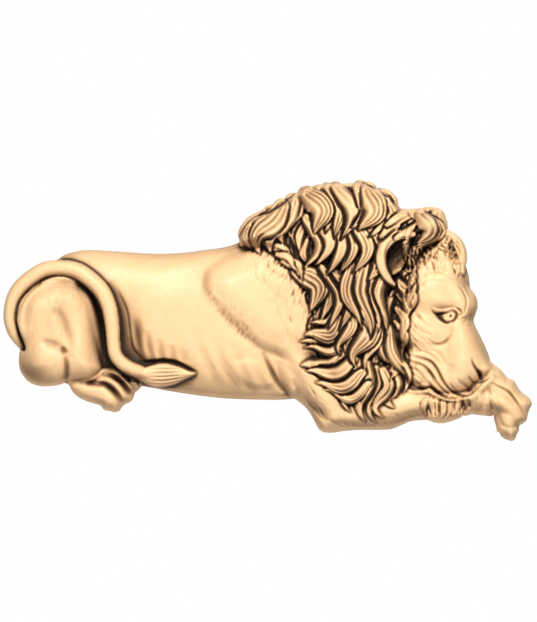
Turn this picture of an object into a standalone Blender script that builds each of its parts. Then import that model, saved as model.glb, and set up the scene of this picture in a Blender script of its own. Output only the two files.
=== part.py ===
"""A wooden relief of a lion lying with its head on its forepaws, carved in one piece and flat behind."""
import math

import bmesh
import bpy
import numpy as np

NAME = "lion_relief"
LENGTH = 0.528              # from the bend of the tail to the forepaws
DEPTH = 0.074               # from the flat back to the foremost lock of the mane
RIM = 0.006                 # thickness of the wood at the outline
WOOD = (0.83, 0.62, 0.38)   # pale limewood
ROUGHNESS = 0.55
SHARP = 50                  # degrees between faces from which an edge is shaded sharp

# The drawing is made in units of the length, with x to the right and z up from the middle of the back.
DRAWN_LENGTH = 528.0
UNIT = LENGTH / DRAWN_LENGTH
X_LOW, X_HIGH = -270.0, 270.0
Z_LOW, Z_HIGH = -136.0, 138.0
RASTER = 1.0                # spacing of the height map, in drawing units
CELL = 1.8                  # spacing of the grid that is raised to it
TRIANGLES = 8000            # triangles of the carved face
STEEPEST = 0.04             # how near to upright a triangle of the carved face may stand
OUTSIDE = -60.0             # height and cover where nothing is drawn
CARRY = 4                   # places by which the heights are carried out past the outline
UNFOLDING = 40              # rounds in which folded triangles are evened out
CLOSING = 10                # of which every so many closes up those that are left
STEP = 2.0                  # spacing of the points of a curve
STRAND = 1.6                # the same for the middle line of a lock
SEED = 11


class Board:
    """The drawing board: a map of heights, and one of how far each place lies inside the outline."""

    def __init__(self, step):
        self.step = step
        self.xs = np.arange(X_LOW, X_HIGH + step / 2, step)
        self.zs = np.arange(Z_LOW, Z_HIGH + step / 2, step)
        self.x, self.z = np.meshgrid(self.xs, self.zs)
        self.h = np.full(self.x.shape, OUTSIDE)
        self.cover = np.full(self.x.shape, OUTSIDE)

    def window(self, low, high, margin):
        i0 = max(0, int((low[0] - margin - X_LOW) / self.step))
        i1 = min(len(self.xs), int((high[0] + margin - X_LOW) / self.step) + 2)
        k0 = max(0, int((low[1] - margin - Z_LOW) / self.step))
        k1 = min(len(self.zs), int((high[1] + margin - Z_LOW) / self.step) + 2)
        return slice(k0, k1), slice(i0, i1)

    def join(self, win, surface, inside, fillet):
        """Joins a form to what is there, with a fillet where they meet."""
        surface = np.where(inside > 0, surface, OUTSIDE)
        gap = np.clip(fillet - np.abs(self.h[win] - surface), 0, None) / max(fillet, 1e-6)
        self.h[win] = np.maximum(self.h[win], surface) + gap**2 * fillet / 4
        self.cover[win] = np.maximum(self.cover[win], inside)

    def lay_over(self, win, surface, inside, moat_depth, moat_width):
        """Lays a form over what is there, with a cut beside it that makes it stand clear."""
        moat = np.clip(1 + inside / moat_width, 0, 1) ** 1.5 * moat_depth
        around = np.where(self.h[win] > OUTSIDE, np.maximum(self.h[win] - moat, 1.0), OUTSIDE)
        self.h[win] = np.where(inside > 0, surface, around)
        self.cover[win] = np.maximum(self.cover[win], inside)

    def sample(self, field, x, z):
        """Reads a map between its places."""
        i = np.clip((x - X_LOW) / self.step, 0, len(self.xs) - 1.001)
        k = np.clip((z - Z_LOW) / self.step, 0, len(self.zs) - 1.001)
        i0, k0 = i.astype(int), k.astype(int)
        u, v = i - i0, k - k0
        low = field[k0, i0] * (1 - u) + field[k0, i0 + 1] * u
        high = field[k0 + 1, i0] * (1 - u) + field[k0 + 1, i0 + 1] * u
        return low * (1 - v) + high * v


def through(points, closed=False):
    """A smooth curve through points, whose further columns, such as widths, change along it too."""
    rows = np.array(points, float)
    if closed:
        rows = np.vstack([rows[-1], rows, rows[:2]])
    else:
        rows = np.vstack([2 * rows[0] - rows[1], rows, 2 * rows[-1] - rows[-2]])
    out = []
    for a, b, c, d in zip(rows[:-3], rows[1:-2], rows[2:-1], rows[3:]):
        count = max(2, int(math.hypot(c[0] - b[0], c[1] - b[1]) / STEP))
        t = np.linspace(0, 1, count, endpoint=False)[:, None]
        bend = (2 * a - 5 * b + 4 * c - d) * t**2 + (3 * b - a - 3 * c + d) * t**3
        out.append(b + ((c - a) * t + bend) / 2)
    return np.vstack(out + [rows[-2]])


def along(board, path, margin):
    """For each place near a path: the share of the way along, the distance to its left, and its columns."""
    win = board.window(path[:, :2].min(0), path[:, :2].max(0), margin)
    x, z = board.x[win], board.z[win]
    legs = np.diff(path[:, :2], axis=0)
    lengths = np.maximum(np.hypot(legs[:, 0], legs[:, 1]), 1e-9)
    run = np.concatenate([[0], np.cumsum(lengths)])
    best = np.full(x.shape, 1e9)
    where = np.zeros(x.shape)
    side = np.ones(x.shape)
    for k, (start, leg, length) in enumerate(zip(path[:-1, :2], legs, lengths)):
        dx, dz = x - start[0], z - start[1]
        t = np.clip((dx * leg[0] + dz * leg[1]) / length**2, 0, 1)
        away = np.hypot(dx - t * leg[0], dz - t * leg[1])
        nearer = away < best
        best = np.where(nearer, away, best)
        where = np.where(nearer, run[k] + t * length, where)
        side = np.where(nearer, np.where(leg[0] * dz - leg[1] * dx >= 0, 1.0, -1.0), side)
    columns = [np.interp(where, run, path[:, c]) for c in range(2, path.shape[1])]
    return win, where / run[-1], best * side, columns


def turned(board, win, centre, radii, turn):
    """Coordinates about a centre, turned and measured in radii."""
    angle = math.radians(turn)
    dx, dz = board.x[win] - centre[0], board.z[win] - centre[1]
    u = (dx * math.cos(angle) + dz * math.sin(angle)) / radii[0]
    v = (dz * math.cos(angle) - dx * math.sin(angle)) / radii[1]
    return u, v


def dome(board, centre, radii, crown, fillet, power=2.0):
    win = board.window(centre, centre, max(radii) * 1.1 + 2)
    u, v = turned(board, win, centre, radii, 0)
    q = (np.abs(u) ** power + np.abs(v) ** power) ** (1 / power)
    board.join(win, crown * np.sqrt(np.clip(1 - q**2, 0, 1)), (1 - q) * min(radii), fillet)


def swell(board, centre, radii, amount, turn=0.0):
    """Raises what is there into a soft swelling, or lowers it."""
    win = board.window(centre, centre, max(radii) * 2.2)
    u, v = turned(board, win, centre, radii, turn)
    board.h[win] += amount * np.exp(-1.4 * (u**2 + v**2)) * (board.h[win] > 0)


def button(board, centre, radii, amount):
    """Raises what is there into a round boss with an edge, or sinks a round pit."""
    win = board.window(centre, centre, max(radii) + 2)
    u, v = turned(board, win, centre, radii, 0)
    board.h[win] += amount * np.sqrt(np.clip(1 - u**2 - v**2, 0, 1))


def limb(board, points, fillet):
    """A round form along a path of rows: x, z, half width, crown."""
    path = through(points)
    win, _, d, (half, crown) = along(board, path, path[:, 2].max() * 1.1 + 2)
    q = np.clip(np.abs(d) / half, 0, 1)
    board.join(win, crown * np.sqrt(1 - q**2), half - np.abs(d), fillet)


def tube(board, points, moat, roundness=1.0):
    """A round form that lies on what is there, along a path of rows: x, z, half width, crown."""
    path = through(points)
    win, _, d, (half, crown) = along(board, path, path[:, 2].max() + moat[1] + 2)
    q = np.clip(np.abs(d) / half, 0, 1)
    board.lay_over(win, crown - half * roundness * (1 - np.sqrt(1 - q**2)), half - np.abs(d), *moat)


def encloses(loop, x, z):
    """Which places lie inside a closed line."""
    inside = np.zeros(x.shape, bool)
    for (x0, z0), (x1, z1) in zip(loop[:-1, :2], loop[1:, :2]):
        if z0 != z1:
            crosses = (z0 > z) != (z1 > z)
            inside ^= crosses & (x < x0 + (z - z0) * (x1 - x0) / (z1 - z0))
    return inside


def depth_inside(board, outline, margin):
    loop = through(outline, closed=True)
    win, _, d, _ = along(board, loop, margin)
    return win, np.where(encloses(loop, board.x[win], board.z[win]), np.abs(d), -np.abs(d))


def pillow(board, outline, crown, bevel, floor, fillet):
    """A form with a drawn outline, which rises from its edge in a quarter round."""
    win, inside = depth_inside(board, outline, 4)
    rise = np.sqrt(1 - (1 - np.clip(inside / bevel, 0, 1)) ** 2)
    board.join(win, floor + (crown - floor) * rise, inside, fillet)


def crease(board, points, depth, width, ends=0.6):
    """A groove along a path, which runs out at both ends; a negative depth makes a ridge."""
    win, t, d, _ = along(board, through(points), width * 3)
    board.h[win] -= depth * np.sin(np.pi * t) ** ends * np.exp(-((d / width) ** 2)) * (board.h[win] > 0)


def ridge(board, points, height, width):
    crease(board, points, -height, width)


def trunk(board):
    top = through([(-226, 34), (-208, 52.5), (-194, 58), (-180, 60), (-150, 58.5), (-118, 56.5), (-88, 57),
                   (-63, 60), (-43, 63), (-28, 68), (10, 84), (60, 90), (100, 88)])
    low = through([(-226, -40), (-180, -60), (-140, -73), (-112, -78.7), (-83, -83.7), (-43, -88.5),
                   (7, -90), (30, -88.5), (70, -86), (100, -84)])
    crown = through([(-226, 34), (-180, 38), (-130, 41), (-80, 44), (-20, 47), (40, 48), (100, 48)])
    win = board.window((-226, -92), (100, 92), 0)
    x, z = board.x[win], board.z[win]
    z_top = np.interp(x, top[:, 0], top[:, 1])
    z_low = np.interp(x, low[:, 0], low[:, 1])
    depth = np.interp(x, crown[:, 0], crown[:, 1])
    z_crown = z_low + (z_top - z_low) * 0.66
    up = np.clip((z - z_crown) / (z_top - z_crown), 0, 1)
    down = np.clip((z_crown - z) / (z_crown - z_low), 0, 1)
    surface = depth * np.sqrt(np.clip(1 - up**2.6 - down**2.3, 0, 1))
    inside = np.minimum(z_top - z, z - z_low)
    board.join(win, surface, inside, 0)


def flank(board):
    """The skin folds beside the tail, the ribs and the soft fall of the loin."""
    folds = [(-128, -10, -52, 6, 3.5), (-117, -18, -52, 6, 3.0), (-106, -24, -50, 6, 2.2),
             (-94, -32, -50, 5, 1.6)]
    for x, z_high, z_end, lean, depth in folds:
        crease(board, [(x, z_high), (x + lean / 3, (z_high + z_end) / 2), (x + lean, z_end)], depth, 3.6,
               ends=1.3)
    for x, z, amount in [(-68, -48, 2.2), (-48, -56, 2.6), (-30, -60, 2.4), (-12, -64, 2.0)]:
        swell(board, (x, z), (6, 20), amount, turn=20)
        swell(board, (x + 9, z - 2), (4, 18), -amount * 0.8, turn=20)
    swell(board, (0, -76), (30, 7), -2.5, turn=-4)
    swell(board, (-80, 34), (44, 10), -1.6, turn=24)
    swell(board, (-136, -30), (9, 30), -4, turn=0)


def haunch(board):
    outline = [(-248, -36), (-252, -20), (-250, -4), (-245, 10), (-236, 21), (-224, 29), (-208, 33),
               (-192, 31), (-181, 22), (-174, 8), (-170, -10), (-168, -30), (-166, -48), (-165, -58),
               (-170, -66), (-176, -70.5), (-186, -72), (-202, -71.5), (-206, -74), (-216, -76),
               (-228, -76), (-239, -72), (-247, -62), (-249, -50)]
    pillow(board, outline, 50, 28, floor=14, fillet=4)
    swell(board, (-194, 8), (16, 16), 3)
    swell(board, (-186, -34), (12, 28), 4)
    swell(board, (-204, -16), (7, 13), -4.0, turn=-38)
    swell(board, (-214, -30), (12, 6), -2.0, turn=-12)
    swell(board, (-226, -52), (17, 17), 4)
    swell(board, (-236, 0), (8, 16), 1.5)
    crease(board, [(-228, -34), (-218, -33), (-209, -36), (-204, -42)], 2.6, 3.6)
    crease(board, [(-204, -38), (-202, -46), (-201, -58), (-201, -68), (-203, -78)], 7, 2.0)
    crease(board, [(-205, -38), (-199, -43), (-195, -49)], 4, 2.2)
    crease(board, [(-198, -73), (-182, -73), (-173, -71), (-167, -66), (-160, -60)], 5, 2.2)


def hind_paw(board):
    outline = [(-204, -70), (-199, -75), (-196, -81), (-190, -87), (-182, -91), (-172, -94), (-167, -96),
               (-164, -100), (-158, -101), (-153, -102.5), (-149, -101), (-147, -98), (-144, -95),
               (-138, -92), (-135, -88), (-134, -84), (-131, -81), (-128, -78), (-126, -74), (-122, -66),
               (-140, -54), (-168, -56)]
    pillow(board, outline, 38, 14, floor=12, fillet=3)
    swell(board, (-160, -90), (15, 9), 4, turn=-10)
    ridge(board, [(-168, -69), (-158, -71), (-150, -77), (-145, -84), (-141, -91)], 4, 4.0)
    ridge(board, [(-158, -60), (-148, -65), (-140, -73), (-134, -80)], 4, 3.4)
    crease(board, [(-182, -74), (-170, -73.5), (-163, -74), (-157, -78), (-152, -83), (-148, -89),
                   (-144, -95)], 9, 2.6)
    crease(board, [(-166, -66), (-158, -65), (-151, -68), (-145, -73), (-140, -80), (-136, -84),
                   (-133, -86)], 10, 2.8)
    crease(board, [(-150, -60), (-142, -67), (-136, -74), (-130, -80)], 4, 1.8)


def tail(board):
    inner = [(-182, 27), (-172, 14), (-167, -2), (-164, -20), (-162, -38), (-160, -52)]
    crease(board, inner, 12, 4.5)
    crease(board, [(-152, 20), (-146, 2), (-143, -16), (-142, -30), (-136, -44), (-126, -53), (-114, -54)],
           6, 6)
    tube(board, [(-245, -38, 3, 14), (-250, -30, 5, 20), (-254.5, -21, 6.3, 25), (-257.7, -8, 6.5, 30),
                 (-255.4, 8, 7, 34), (-248, 21, 8, 38), (-236, 32, 8, 42), (-222, 40, 8, 46),
                 (-206, 42, 8, 50), (-190, 39, 8.5, 53), (-176, 30, 8.5, 56), (-165, 18, 8.5, 58),
                 (-158, 2, 8, 59), (-155, -16, 7.5, 59), (-154, -32, 7, 58), (-152, -44, 7, 57),
                 (-146, -52, 7, 56), (-137, -58, 7, 54), (-126, -64, 7, 52), (-118, -66, 6, 51)],
         moat=(14, 9), roundness=1.15)


def tail_tuft(board):
    outline = [(-124, -60), (-116, -55), (-104, -53), (-90, -56), (-80, -60), (-71, -63), (-81, -69),
               (-95, -75), (-110, -77), (-121, -74), (-127, -69)]
    win, inside = depth_inside(board, outline, 12)
    surface = 46 + 9 * np.sqrt(1 - (1 - np.clip(inside / 9, 0, 1)) ** 2)
    board.lay_over(win, surface, inside, 10, 7)
    for k in range(4):
        z = -57.5 - 4.5 * k
        crease(board, [(-120, z - 3), (-104, z - 1.5 - 0.6 * k), (-88, z * 0.55 - 28 - k), (-76, -63 - k)],
               2.6, 1.3)


def shoulder(board):
    outline = [(-30, 60), (-46, 54), (-58, 45), (-65, 34), (-66, 24), (-62, 13), (-54, 3), (-44, -7),
               (-33, -17), (-22, -27), (-12, -36), (-2, -42), (12, -46), (32, -49), (54, -52), (74, -30),
               (74, 10), (54, 50), (24, 76), (-10, 68)]
    pillow(board, outline, 56, 40, floor=40, fillet=5)
    crease(board, [(-63, 18), (-54, 1), (-40, -13), (-24, -27), (-6, -41)], 2.6, 3.4)
    swell(board, (-44, 24), (12, 20), 1.6, turn=20)


def foreleg(board):
    outline = [(-6, -42), (2, -58), (10, -74), (20, -86), (26, -88.5), (35, -95), (42, -103), (48, -114),
               (53, -121), (62, -123), (77, -121), (92, -120), (112, -120), (124, -119), (134, -115),
               (144, -111), (160, -109.5), (178, -105), (195, -103.5), (207, -104.5), (216, -105.5),
               (226, -104), (226, -80), (165, -70), (140, -66), (110, -60), (80, -45), (50, -36),
               (20, -36)]
    pillow(board, outline, 45, 26, floor=6, fillet=4)
    limb(board, [(20, -36, 18, 48), (38, -60, 19, 50), (58, -88, 18, 49), (68, -102, 14, 46)], fillet=10)
    limb(board, [(66, -106, 13, 44), (92, -103, 15, 46), (120, -100, 16, 46), (150, -93, 14, 46),
                 (184, -89, 12, 44)], fillet=8)
    crease(board, [(-6, -42), (2, -58), (10, -74), (15, -82)], 5, 2.4)
    crease(board, [(24, -68), (28, -78), (32, -86)], 2.4, 3)
    crease(board, [(40, -94), (50, -102), (60, -110), (74, -114), (90, -115)], 2.2, 2.6)
    swell(board, (60, -112), (10, 8), 2)
    swell(board, (26, -60), (6, 18), -2, turn=30)


def front_paws(board):
    outline = [(200, -70), (214, -60), (221, -52), (228, -56), (233, -60), (237, -65), (240, -68),
               (245, -70), (248, -74), (251, -79), (255, -83), (260, -87), (263, -91), (264, -94),
               (262, -98), (260, -103), (259, -108), (258, -111), (254, -114), (251, -116), (251, -120),
               (249, -124), (247, -129), (244, -131), (240, -130), (236, -126), (232, -122.5),
               (230, -122), (229, -117), (227, -110), (226.5, -105), (222, -104), (217, -105.5),
               (212, -105), (207, -103.5), (194, -103.5)]
    pillow(board, outline, 42, 15, floor=12, fillet=3)
    limb(board, [(196, -88, 12, 41), (214, -88, 13, 44), (230, -90, 13, 47), (242, -98, 12, 46),
                 (248, -106, 9, 41)], fillet=5)
    dome(board, (241, -120), (9, 10), 33, fillet=3)
    swell(board, (240, -76), (9, 7), 2, turn=-40)
    crease(board, [(221, -72), (232, -78), (238, -81), (243, -86), (247, -92), (251, -97), (255, -101),
                   (258, -107)], 6, 1.6)
    crease(board, [(224, -62), (228, -66), (234, -67)], 2, 1.5)
    crease(board, [(229, -104), (232, -110), (235, -116), (242, -117.5), (252, -115.5)], 4, 2.0)
    crease(board, [(238, -127), (243, -127.5), (248, -123)], 2, 1.4)


FACE = [(176, 78), (190, 66), (195, 50), (196, 36), (198, 29), (202, 22), (206.5, 16), (209, 10),
        (209.5, 3), (207.5, -4), (205.5, -9.5), (206.5, -15), (209.5, -22), (212.5, -30), (216, -39),
        (220, -47), (223, -52), (225.5, -56), (226, -61), (223, -66), (216, -72), (208, -78), (198, -83),
        (186, -87), (172, -88), (158, -84), (144, -79), (134, -70), (130, -50), (128, -20), (130, 10),
        (136, 30), (146, 48), (160, 64)]


def head(board):
    pillow(board, FACE, 47, 16, floor=14, fillet=3)
    dome(board, (160, 20), (42, 48), 58, fillet=6, power=2.3)
    dome(board, (150, -20), (34, 34), 56, fillet=8)
    limb(board, [(176, 30, 14, 48), (184, 20, 14, 51), (191, 8, 14, 53), (192, -2, 13, 52)], fillet=14)
    limb(board, [(182, -12, 17, 51), (186, -28, 19, 54), (190, -44, 23, 57), (191, -56, 26, 58),
                 (188, -66, 20, 54)], fillet=8)
    limb(board, [(195, -12, 8, 44), (200, -26, 9, 47), (205, -40, 10, 50), (211, -52, 11, 52),
                 (214, -60, 9, 49)], fillet=10)
    dome(board, (154, -58), (26, 26), 48, fillet=6)
    brow(board)
    eye(board)
    nose(board)
    mouth(board)
    far_ear(board)
    beard(board)


def brow(board):
    crease(board, [(190, 24), (196, 15), (198, 7), (196, -1), (191, -6)], 2.6, 1.2)
    crease(board, [(190, -8), (196, -7.5), (201, -4)], 1.8, 1.2)
    crease(board, [(192, -14), (197, -11), (200, -7)], 1.4, 1.0)
    swell(board, (204, 8), (5, 12), 2.5)
    swell(board, (206, -9), (6, 6), -3.5)
    swell(board, (174, 8), (18, 7), 2.5, turn=-4)
    swell(board, (150, 2), (14, 10), -2.0)
    crease(board, [(158, 32), (166, 29), (176, 26), (184, 20)], 0.8, 2.6)


def eye(board):
    swell(board, (177, -6), (14, 8), -6.5, turn=-4)
    swell(board, (188, -5), (4, 8), -5)
    swell(board, (164, -4), (6, 5), -3)
    button(board, (178, -6), (9.0, 6.6), 6.0)
    ridge(board, [(163, 0), (169, -2.4), (176, -2.5), (184, -0.5), (189, 0), (191, -5)], 2.8, 1.5)
    crease(board, [(162, -0.5), (170, 0.4), (180, 2), (189, 2.5)], 2.6, 1.0)
    crease(board, [(166, -4), (172, -5.4), (178, -4.2), (186, -2.4)], 3.4, 1.0)
    crease(board, [(164, -2), (167, -5), (171, -9), (175, -11.5), (180, -12), (185, -10.6)], 4.0, 1.2)
    ridge(board, [(166, -8), (171, -12.5), (178, -15), (186, -13)], 1.6, 1.5)
    crease(board, [(184.5, -0.5), (187.5, -4), (187.5, -10)], 5.0, 1.6)
    button(board, (181.5, -6), (1.6, 1.7), -3)


def nose(board):
    crease(board, [(203, -48), (203.6, -53), (207, -59), (210.5, -64), (212.5, -70)], 6.5, 1.5)
    swell(board, (211.5, -64), (3, 6), -6, turn=20)
    swell(board, (219, -58), (6, 7), 3)
    for x, z, length in ((188, -68, 15), (199, -66, 9), (181, -73, 11)):
        crease(board, [(x, z), (x + length * 0.45, z - length * 0.4), (x + length, z - length * 0.8)], 2.2,
               1.2)
    crease(board, [(182, -14), (182, -22), (179, -29), (173, -33.5), (166, -34), (160, -31)], 2.6, 2.2)
    crease(board, [(158, -40), (168, -42), (174, -48), (177, -57)], 2.2, 2.4)
    swell(board, (186, -24), (5, 14), -2.0)
    swell(board, (168, -24), (12, 10), 1.8)
    swell(board, (192, -58), (12, 14), 2.0)


def mouth(board):
    swell(board, (137, -36), (8, 6), -14)
    crease(board, [(132, -39), (142, -43), (152, -45.5), (161, -49.5), (167, -56), (171, -64), (176, -73),
                   (183, -81), (192, -85), (201, -83), (209, -77), (216, -70)], 6.5, 1.7)
    ridge(board, [(138, -47), (150, -50), (160, -55), (166, -63), (172, -73), (180, -81)], 1.8, 2.2)
    crease(board, [(136, -45), (146, -50), (156, -57), (162, -65), (167, -73), (174, -80), (184, -86)], 6.5,
           2.0)
    crease(board, [(140, -50), (150, -58), (156, -66), (160, -73)], 2.6, 2.0)
    crease(board, [(134, -74), (146, -78), (154, -77.5), (160, -75.5), (168, -78), (176, -83), (186, -87)],
           6.5, 2.0)
    crease(board, [(141, -82), (149, -84), (160, -81.5), (168, -85), (176, -90), (186, -91), (196, -88)],
           4.5, 1.8)


def far_ear(board):
    outline = [(176, 80), (186, 76.5), (193, 70), (197, 62), (198.5, 54), (197.5, 45), (196, 35), (188, 36),
               (178, 46), (170, 58), (168, 70)]
    win, inside = depth_inside(board, outline, 8)
    surface = 30 + 14 * np.sqrt(1 - (1 - np.clip(inside / 8, 0, 1)) ** 2)
    board.join(win, surface, inside, 4)
    swell(board, (184, 58), (6, 14), -11, turn=20)
    ridge(board, [(180, 76), (190, 69), (195, 57), (194, 42)], 4, 3.2)


def beard(board):
    outline = [(152, -84), (154, -94), (157, -104), (160, -110), (170, -113), (178, -112.5), (186, -109),
               (193, -105), (198, -98), (200, -88), (190, -84), (172, -86)]
    pillow(board, outline, 50, 12, floor=24, fillet=3)
    mass = np.maximum(board.h, 26.0)
    ends = through([(158, -109), (167, -113), (182, -112), (194, -104)])
    for k, at in enumerate((0.05, 0.9, 0.35, 0.65, 0.2, 0.78, 0.5)):
        tip = ends[int(at * (len(ends) - 1))]
        root = (154 + 40 * at, -88)
        lock(board, mass, root, tip, (2 - 4 * at, 1 - 2 * (k % 2)), 9, 2, flutes=2, moat=(4, 2.5))


def bowed(root, tip, bows):
    """A curve from root to tip, bowed to its left in an arc by the first amount and in an S by the second."""
    leg = np.subtract(tip, root)
    length = math.hypot(*leg)
    left = np.array((-leg[1], leg[0])) / length
    t = np.linspace(0, 1, max(8, int(length / STRAND)))[:, None]
    return np.add(root, leg * t) + left * (bows[0] * np.sin(np.pi * t) + bows[1] * np.sin(2 * np.pi * t))


def lock(board, mass, root, tip, bows, width, lift, flutes, moat=(7.5, 3.2)):
    """A lock of hair: a fluted ribbon that swells over the mass and runs to a point."""
    path = bowed(root, tip, bows)
    win, t, d, _ = along(board, path, width / 2 + moat[1] + 2)
    half = width / 2 * np.clip((t + 0.25) / 0.50, 0, 1) ** 0.6 * np.clip((1 - t) / 0.45, 0, 1) ** 0.75
    half = np.maximum(half, 0.25)
    u = d / half
    outer = 1.0 if bows[0] >= 0 else -1.0
    within = np.clip(1 - u**2, 0, 1)
    arch = np.sin(np.pi * np.clip(t * 0.80 + 0.16, 0, 1))
    ribs = np.abs(np.sin(np.pi * flutes * (u - 0.22 * outer * within + 1) / 2)) ** 1.4
    crown = 0.50 * np.sqrt(within) * (0.35 + 0.65 * arch) + 0.16 * outer * u * within**0.25
    full = np.clip(half / 2.5, 0.2, 1)
    body = mass[win] + lift * arch + width * crown - width * 0.17 * (1 - ribs) * full - 1.0
    board.lay_over(win, body, half - np.abs(d), *moat)


MANE = [(-28, 64), (-24, 81), (-14, 92), (2, 97), (16, 106), (27, 116), (38, 122), (56, 126), (74, 126),
        (92, 127), (106, 121), (118, 121), (128, 113), (132, 102), (148, 101), (160, 103), (172, 101),
        (177, 94), (179, 80), (170, 68), (160, 58), (150, 46), (142, 33), (141, 18), (134, 8), (131, -8),
        (128, -20), (132, -36), (136, -56), (140, -78), (128, -90), (112, -96), (98, -104), (86, -98),
        (70, -88), (58, -78), (54, -64), (42, -52), (38, -38), (44, -28), (38, -18), (42, -8), (36, 6),
        (28, 20), (14, 35), (2, 46), (-8, 58)]

# Each row of locks runs from a curve of roots to a curve of tips: roots, tips, how many, width, bows, lift.
ROWS = [
    ([(84, -42), (108, -58), (132, -62)], [(80, -98), (104, -110), (134, -94)], 5, 18, (-2, 7), 1),
    ([(77, -34), (88, -54), (102, -76)], [(32, -50), (44, -66), (56, -82)], 4, 17, (9, 5), 3),
    ([(66, 8), (72, -10), (76, -28)], [(37, -14), (34, -26), (36, -42)], 4, 14, (7, 4), 2),
    ([(106, -14), (124, -20)], [(118, -68), (136, -78)], 3, 16, (2, -7), 2),
    ([(68, 6), (88, 4), (106, -6)], [(66, -46), (86, -52), (100, -58)], 3, 20, (3, 8), 4),
    ([(26, 36), (48, 40), (68, 36)], [(42, -4), (54, -14), (72, -14)], 4, 18, (11, 4), 4),
    ([(132, 40), (128, 8), (124, -22)], [(140, 10), (134, -22), (131, -54)], 6, 10, (1, 3), 2),
    ([(78, 40), (100, 42), (126, 36)], [(86, -18), (106, -28), (122, -20)], 4, 20, (-3, -10), 5),
    ([(0, 63), (8, 52), (18, 42)], [(20, 47), (26, 38), (32, 30)], 3, 10, (4, 1), 3),
    ([(30, 92), (60, 90), (102, 80)], [(28, 38), (58, 33), (104, 27)], 5, 23, (12, 4), 6),
    ([(-12, 86), (8, 99), (32, 108)], [(-24, 64), (-6, 57), (20, 56)], 4, 20, (-4, 4), 6),
    ([(36, 114), (54, 119), (76, 122)], [(42, 70), (60, 70), (78, 74)], 3, 24, (12, 6), 7),
    ([(88, 121), (106, 116), (122, 104)], [(72, 84), (92, 70), (116, 70)], 3, 25, (13, 6), 7),
]


def row_of_locks(board, mass, row, rng):
    """A row of locks whose roots and tips lie along two curves, with bends that change along it."""
    roots, tips, count, width, bows, lift = row
    starts, ends = through(roots), through(tips)
    places = (np.arange(count) + 0.5 + rng.uniform(-0.2, 0.2, count)) / count
    for at in rng.permutation(places):
        root, tip = (np.array([np.interp(at, np.linspace(0, 1, len(line)), line[:, c]) for c in (0, 1)])
                     for line in (starts, ends))
        tip = root + (tip - root) * rng.uniform(0.9, 1.15) + rng.uniform(-2, 2, 2)
        bend = np.array(bows) * rng.uniform(0.7, 1.3, 2) * rng.choice((1, 1, 1, -1))
        size = width * rng.uniform(0.85, 1.15)
        high = lift + rng.uniform(-1.5, 1.5)
        lock(board, mass, root, tip, bend, size, high, flutes=2 if size < 16 else 3)


def flow(x, z):
    """The way the hair lies there, as an angle in degrees from +x."""
    back = np.clip((30 - x) / 60, 0, 1) * np.clip((z - 40) / 40, 0, 1)
    front = np.clip((x - 120) / 50, 0, 1) * np.clip((z - 40) / 40, 0, 1)
    return -92 - 40 * back - 45 * front + 22 * np.clip((x - 100) / 40, 0, 1) * np.clip((30 - z) / 40, 0, 1)


def undercoat(board, mass, rng):
    """Plain locks all over the mane, which show deep between the large ones."""
    loop = through(MANE, closed=True)
    for row, z in enumerate(np.arange(-92, 124, 15.0)):
        for x in np.arange(-30 + 7 * (row % 2), 185, 14.0):
            middle = np.array((x, z)) + rng.uniform(-2, 2, 2)
            angle = math.radians(flow(*middle) + rng.uniform(-18, 18))
            reach = rng.uniform(14, 18) * np.array((math.cos(angle), math.sin(angle)))
            ends = np.array((middle - reach, middle + reach))
            bow = rng.uniform(3, 6) * rng.choice((-1, 1))
            if encloses(loop, ends[:, 0], ends[:, 1]).all():
                lock(board, mass, *ends, (bow, bow / 3), rng.uniform(12, 15), -6, flutes=2, moat=(5, 3))


def near_ear(board):
    """The ear on this side: a hollow with a rounded rim that stands out of the mane."""
    swell(board, (128, 54), (14, 22), -10)
    button(board, (130, 54), (13, 18), -13)
    rim = [(144, 75, 3.5, 64), (134, 75, 5, 68), (124, 72, 5.5, 71), (115, 63, 6, 72), (111, 52, 5.8, 72),
           (114, 40, 5, 71), (120, 30, 4, 67), (125, 25, 2.5, 62)]
    tube(board, rim, moat=(9, 4))


def forelock(board, mass):
    """The hair that sweeps over the ear to the forehead."""
    sweeps = [((114, 76), (148, 100), (4, 1), 12), ((122, 84), (163, 101), (6, 1), 14),
              ((132, 72), (156, 96), (-4, 0), 10), ((179, 82), (150, 60), (10, 1), 10),
              ((172, 97), (148, 64), (12, -2), 20), ((163, 101), (140, 72), (5, -2), 14)]
    for root, tip, bows, width in sweeps:
        lock(board, mass, root, tip, bows, width, 6, flutes=2 if width < 18 else 3)


def hairline(board, rng):
    """Short tufts that stick out of the mane over the forehead and the cheek."""
    edge = through([(176, 60), (164, 58), (152, 56), (143, 50), (138, 38), (139, 26), (138, 12), (133, -2),
                    (131, -16)])
    mass = np.maximum(board.h, 30.0)
    for k in range(0, len(edge) - 1, 2):
        ahead = edge[min(k + 1, len(edge) - 1)] - edge[k]
        out = np.array((-ahead[1], ahead[0])) / np.hypot(*ahead)
        down = np.array((0.35, -0.9))
        reach = (out * rng.uniform(0.4, 1.0) + down * rng.uniform(0.3, 0.8)) * rng.uniform(8, 13)
        root = edge[k] - out * 5
        lock(board, mass, root, root + reach, (rng.uniform(-1.5, 1.5), 0), rng.uniform(4, 6), 2, flutes=2,
             moat=(3, 2))


def mane(board):
    rng = np.random.default_rng(SEED)
    pillow(board, MANE, 60, 44, floor=24, fillet=4)
    mass = np.maximum(board.h, 12.0)
    undercoat(board, mass, rng)
    hairline(board, rng)
    for row in ROWS:
        row_of_locks(board, mass, row, rng)
    near_ear(board)
    forelock(board, mass)


def carve():
    """Draws the whole lion, what lies behind first."""
    board = Board(RASTER)
    trunk(board)
    dome(board, (-216, -2), (46, 48), 24, fillet=6)
    flank(board)
    hind_paw(board)
    haunch(board)
    tail(board)
    tail_tuft(board)
    shoulder(board)
    foreleg(board)
    front_paws(board)
    head(board)
    mane(board)
    return board


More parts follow.
